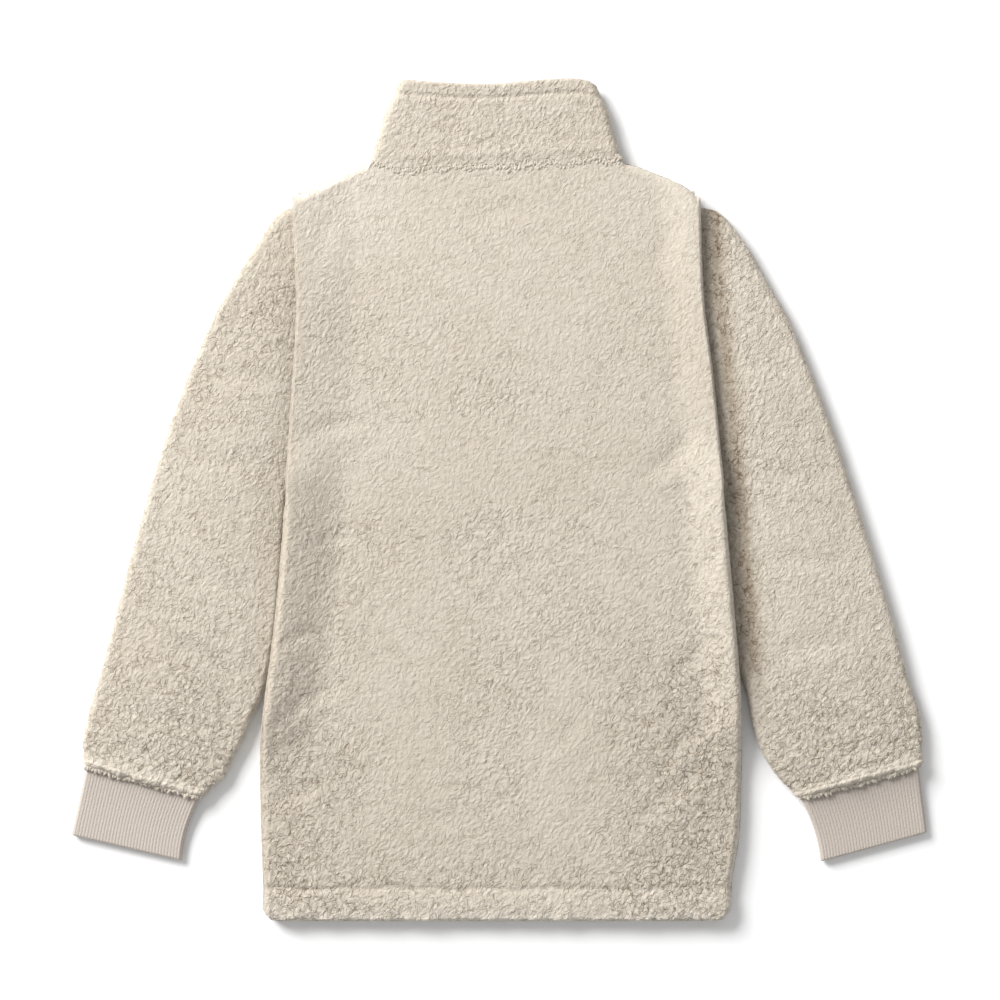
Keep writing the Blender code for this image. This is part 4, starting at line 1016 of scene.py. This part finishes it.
def sleeveEndTufts(side, seed):
    # Curls of the roll at a sleeve's end hang over the cuff, on its upper side.
    random = np.random.default_rng(seed)
    outline, _, length, along, ahead, edgeReach = sleeveEnd(side)
    count, edge = tuftWorks["endCount"], tuftWorks["endInset"]
    share = (np.arange(count) + random.uniform(0, 1, count)) / count
    inset = edge + (length - 2 * edge) * share
    reach = edgeReach + tuftWorks["endOver"] + random.normal(0, tuftWorks["endStray"], count)
    plan = outline + inset[:, None] * along + reach[:, None] * ahead
    fall = np.minimum(inset, length - inset)
    z = (sleeves["height"] - tuftWorks["endSink"]
         - tuftWorks["endDrop"] * (1 - eased(fall / tuftWorks["endDropOver"]))
         + random.uniform(*tuftWorks["endRise"], count))
    turns = math.atan2(ahead[1], ahead[0]) + random.normal(0, tuftWorks["endTurn"], count)
    return flatTufts(f"sleeve_{side}_end_curls", plan[:, 0], plan[:, 1], z, turns, seed + 1)


neckTufts()
for side, seed in (("left", 17), ("right", 27)):
    sleeveEndTufts(side, seed)


zipWorks = {
    "pitch": 2.5, "halfWidth": 1.15, "overlap": 0.75,    # how far a tooth's head reaches past the middle
    "along": (0.0, 0.06, 0.3, 0.48, 0.62, 0.8, 0.96, 1.0),      # places from a tooth's foot to its head
    "girths": (0.02, 0.85, 0.95, 0.8, 0.72, 1.0, 0.8, 0.02),    # and how thick it is there
    "round": 8, "squareness": 0.7, "thickGain": 1.1,
    "tapeSteps": (8, 241), "tapeEdge": 0.35, "edgeRound": 0.12, "tapeThin": 0.82, "beadFrom": (0.6, 0.3),
}


def zipBox(node):
    low, high = (np.array(corner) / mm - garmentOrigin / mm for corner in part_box(node))
    return low, high, (low + high) / 2, (high - low) / 2


def makeTeeth():
    # Each tooth is a rounded bar: a superellipse carried across the chain, narrow at the neck.
    low, high, middle, half = zipBox("zip_chain")
    count, around = int((high[1] - low[1]) / zipWorks["pitch"]), zipWorks["round"]
    y = low[1] + zipWorks["pitch"] * (np.arange(count) + 0.5)
    side = np.where(np.arange(count) % 2, 1.0, -1.0)
    s = np.array(zipWorks["along"])[None, :, None]
    girth = np.array(zipWorks["girths"])[None, :, None]
    turn = ((np.arange(around) + 0.5) * 2 * math.pi / around)[None, None, :]
    squared = [np.sign(wave) * abs(wave) ** zipWorks["squareness"] for wave in (np.cos(turn), np.sin(turn))]
    x = middle[0] + side[:, None, None] * (half[0] - s * (half[0] + zipWorks["overlap"])) + 0 * turn
    across = y[:, None, None] + zipWorks["halfWidth"] * girth * squared[0] + 0 * x
    z = middle[2] + half[2] * np.minimum(girth * zipWorks["thickGain"], 1) * squared[1] + 0 * x
    points = np.stack((x, across, z), axis=-1).reshape(-1, 3)
    faces = rodFaces(s.shape[1], around, side < 0)
    return makePiece("zip_teeth", "zip_chain", points, faces, moulded)


def makeTape(side):
    # A flat woven strip with round edges, thicker by a bead along the edge that the teeth clasp.
    node = "zip_tape_" + side
    low, high, middle, half = zipBox(node)
    columns, rows = zipWorks["tapeSteps"]
    across = np.linspace(0, 1, columns)[None, :]
    up = np.linspace(0, 1, rows)[:, None]
    inner = 1 - across if side == "right" else across
    x = low[0] + (high[0] - low[0]) * across + 0 * up
    y = low[1] + (high[1] - low[1]) * up + 0 * across
    edge, thin = zipWorks["tapeEdge"], zipWorks["tapeThin"]
    inward = np.minimum(across, 1 - across) / zipWorks["edgeRound"]
    rounded = edge + (1 - edge) * np.sqrt(np.clip(inward, 0, 1))
    thick = half[2] * (rounded + 0 * up) * (thin + (1 - thin) * easedFrom(inner, *zipWorks["beadFrom"]))
    points = np.concatenate([np.stack((x, y, middle[2] + way * thick), -1).reshape(-1, 3) for way in (1, -1)])
    size = rows * columns
    rim = gridRim(rows, columns, 0)
    faces = (gridFaces(rows, columns, 0, False, False) + gridFaces(rows, columns, size, False, True)
             + np.stack((rim, rim + size, np.roll(rim, -1) + size, np.roll(rim, -1)), -1).tolist())
    return makePiece(f"{node}_weave", node, points, faces, woven)


weaveLook = {
    "colours": ((0.40, 0.35, 0.27), (0.60, 0.53, 0.42)), "ribShare": 0.6, "yarnShare": 0.3,
    "zigzag": 0.0009, "rib": 0.00035, "yarnScale": 2600.0, "yarnHeight": 0.4, "bump": 0.00012,
    "roughness": 0.85, "sheen": 0.1, "specular": 0.25,
}


def wovenFinish():
    # A herringbone of slanted ribs: a triangle wave of y plus a triangle wave of x.
    look = weaveLook
    finish = Finish("woven_tape", {"Roughness": look["roughness"], "Sheen Weight": look["sheen"],
                                   "Specular IOR Level": look["specular"]})
    place = finish.place()
    x, y = (finish.node("ShaderNodeSeparateXYZ", {}, {0: place}, axis) for axis in "XY")
    zigzag = finish.node("ShaderNodeMath", {"operation": "PINGPONG"}, {0: x, 1: look["zigzag"]})
    weave = finish.node("ShaderNodeMath", {"operation": "PINGPONG"}, {0: y + zigzag, 1: look["rib"]}) * (
        1 / look["rib"])
    yarn = finish.noise(place, look["yarnScale"], 2.0)
    finish.feed(Base_Color=finish.mix(weave * look["ribShare"] + yarn * look["yarnShare"], *look["colours"]),
                Normal=finish.bump(weave + yarn * look["yarnHeight"], look["bump"]))
    return finish.material


plasticLook = {
    "colours": ((0.52, 0.455, 0.365), (0.62, 0.555, 0.45)), "cloudScale": 240.0, "grainScale": 4200.0,
    "roughness": 0.34, "grainRoughness": 0.16, "bump": 0.00003, "specular": 0.45,
}


def mouldedFinish():
    # Moulded plastic: a faint flow cloud in the colour and a fine satin grain.
    look = plasticLook
    finish = Finish("moulded_teeth", {"Specular IOR Level": look["specular"]})
    place = finish.place()
    grain = finish.noise(place, look["grainScale"], 2.0)
    finish.feed(Base_Color=finish.mix(finish.noise(place, look["cloudScale"], 3.0), *look["colours"]),
                Roughness=look["roughness"] + grain * look["grainRoughness"],
                Normal=finish.bump(grain, look["bump"]))
    return finish.material


nickelLook = {
    "colours": ((0.50, 0.485, 0.455), (0.62, 0.605, 0.57)), "patchScale": 320.0, "pitScale": 1900.0,
    "scratch": (6000.0, 500.0, 500.0), "scratchTurn": 0.6, "pitHeight": 0.5, "bump": 0.00004,
    "roughness": 0.24, "patchRoughness": 0.2, "scratchRoughness": 0.1,
}


def nickelFinish():
    # Tumbled nickel: duller in soft patches, with fine pits and short scratches.
    look = nickelLook
    finish = Finish("tumbled_nickel", {"Metallic": 1.0})
    place = finish.place()
    patches, pits = finish.noise(place, look["patchScale"], 4.0), finish.cells(place, look["pitScale"])
    stretched = finish.node("ShaderNodeMapping", {}, {
        "Vector": place, "Rotation": (0.0, 0.0, look["scratchTurn"]), "Scale": look["scratch"]})
    scratches = finish.noise(stretched, 1.0, 2.0)
    finish.feed(Base_Color=finish.mix(patches, *look["colours"]),
                Roughness=(look["roughness"] + patches * look["patchRoughness"]
                           + scratches * look["scratchRoughness"]),
                Normal=finish.bump(pits * look["pitHeight"] + scratches, look["bump"]))
    return finish.material


moulded, woven, nickel = mouldedFinish(), wovenFinish(), nickelFinish()
makeTeeth()
for side in ("left", "right"):
    makeTape(side)
for node, finish in (("zip_box", moulded), ("zip_slider", nickel), ("zip_pull", nickel)):
    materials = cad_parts[node].data.materials
    materials.clear()
    materials.append(finish)
print("zip made")


studio = {
    "floor": 0.96, "floorSize": 8.0, "floorAt": -0.0003, "roughness": 0.9,
    "sky": 0.5, "keyAt": (-3.1, 2.8, 2.55), "keySize": 2.8, "keyPower": 425.0,
    "lens": 150.0, "sensor": 36.0, "width": 0.8, "aim": (0.0006, -0.0003),    # width is what the frame spans
}


def makeStudio():
    bpy.ops.mesh.primitive_plane_add(size=studio["floorSize"], location=(0, 0, studio["floorAt"]))
    floor = bpy.context.object
    floor.name = "studio_floor"
    white = (studio["floor"],) * 3
    paper = Finish("studio_paper", {"Roughness": studio["roughness"], "Base Color": (*white, 1)})
    floor.data.materials.append(paper.material)
    world = bpy.context.scene.world or bpy.data.worlds.new("studio")
    bpy.context.scene.world = world
    world.use_nodes = True
    sky = world.node_tree.nodes["Background"].inputs
    sky["Color"].default_value, sky["Strength"].default_value = (1, 1, 1, 1), studio["sky"]
    key = bpy.data.lights.new("key_light", "AREA")
    key.size, key.energy = studio["keySize"], studio["keyPower"]
    lamp = bpy.data.objects.new("key_light", key)
    lamp.location = studio["keyAt"]
    toX, toY, toZ = -np.array(studio["keyAt"]) / np.linalg.norm(studio["keyAt"])
    lamp.rotation_euler = (math.acos(-toZ), 0, math.atan2(toY, toX) - math.pi / 2)
    camera = bpy.data.cameras.new("camera")
    camera.lens, camera.sensor_width = studio["lens"], studio["sensor"]
    eye = bpy.data.objects.new("camera", camera)
    eye.location = (*studio["aim"], studio["width"] * studio["lens"] / studio["sensor"])
    for made in (lamp, eye):
        bpy.context.collection.objects.link(made)
    bpy.context.scene.camera = eye
    bpy.context.scene.view_settings.view_transform = "Standard"


makeStudio()
print("studio made")
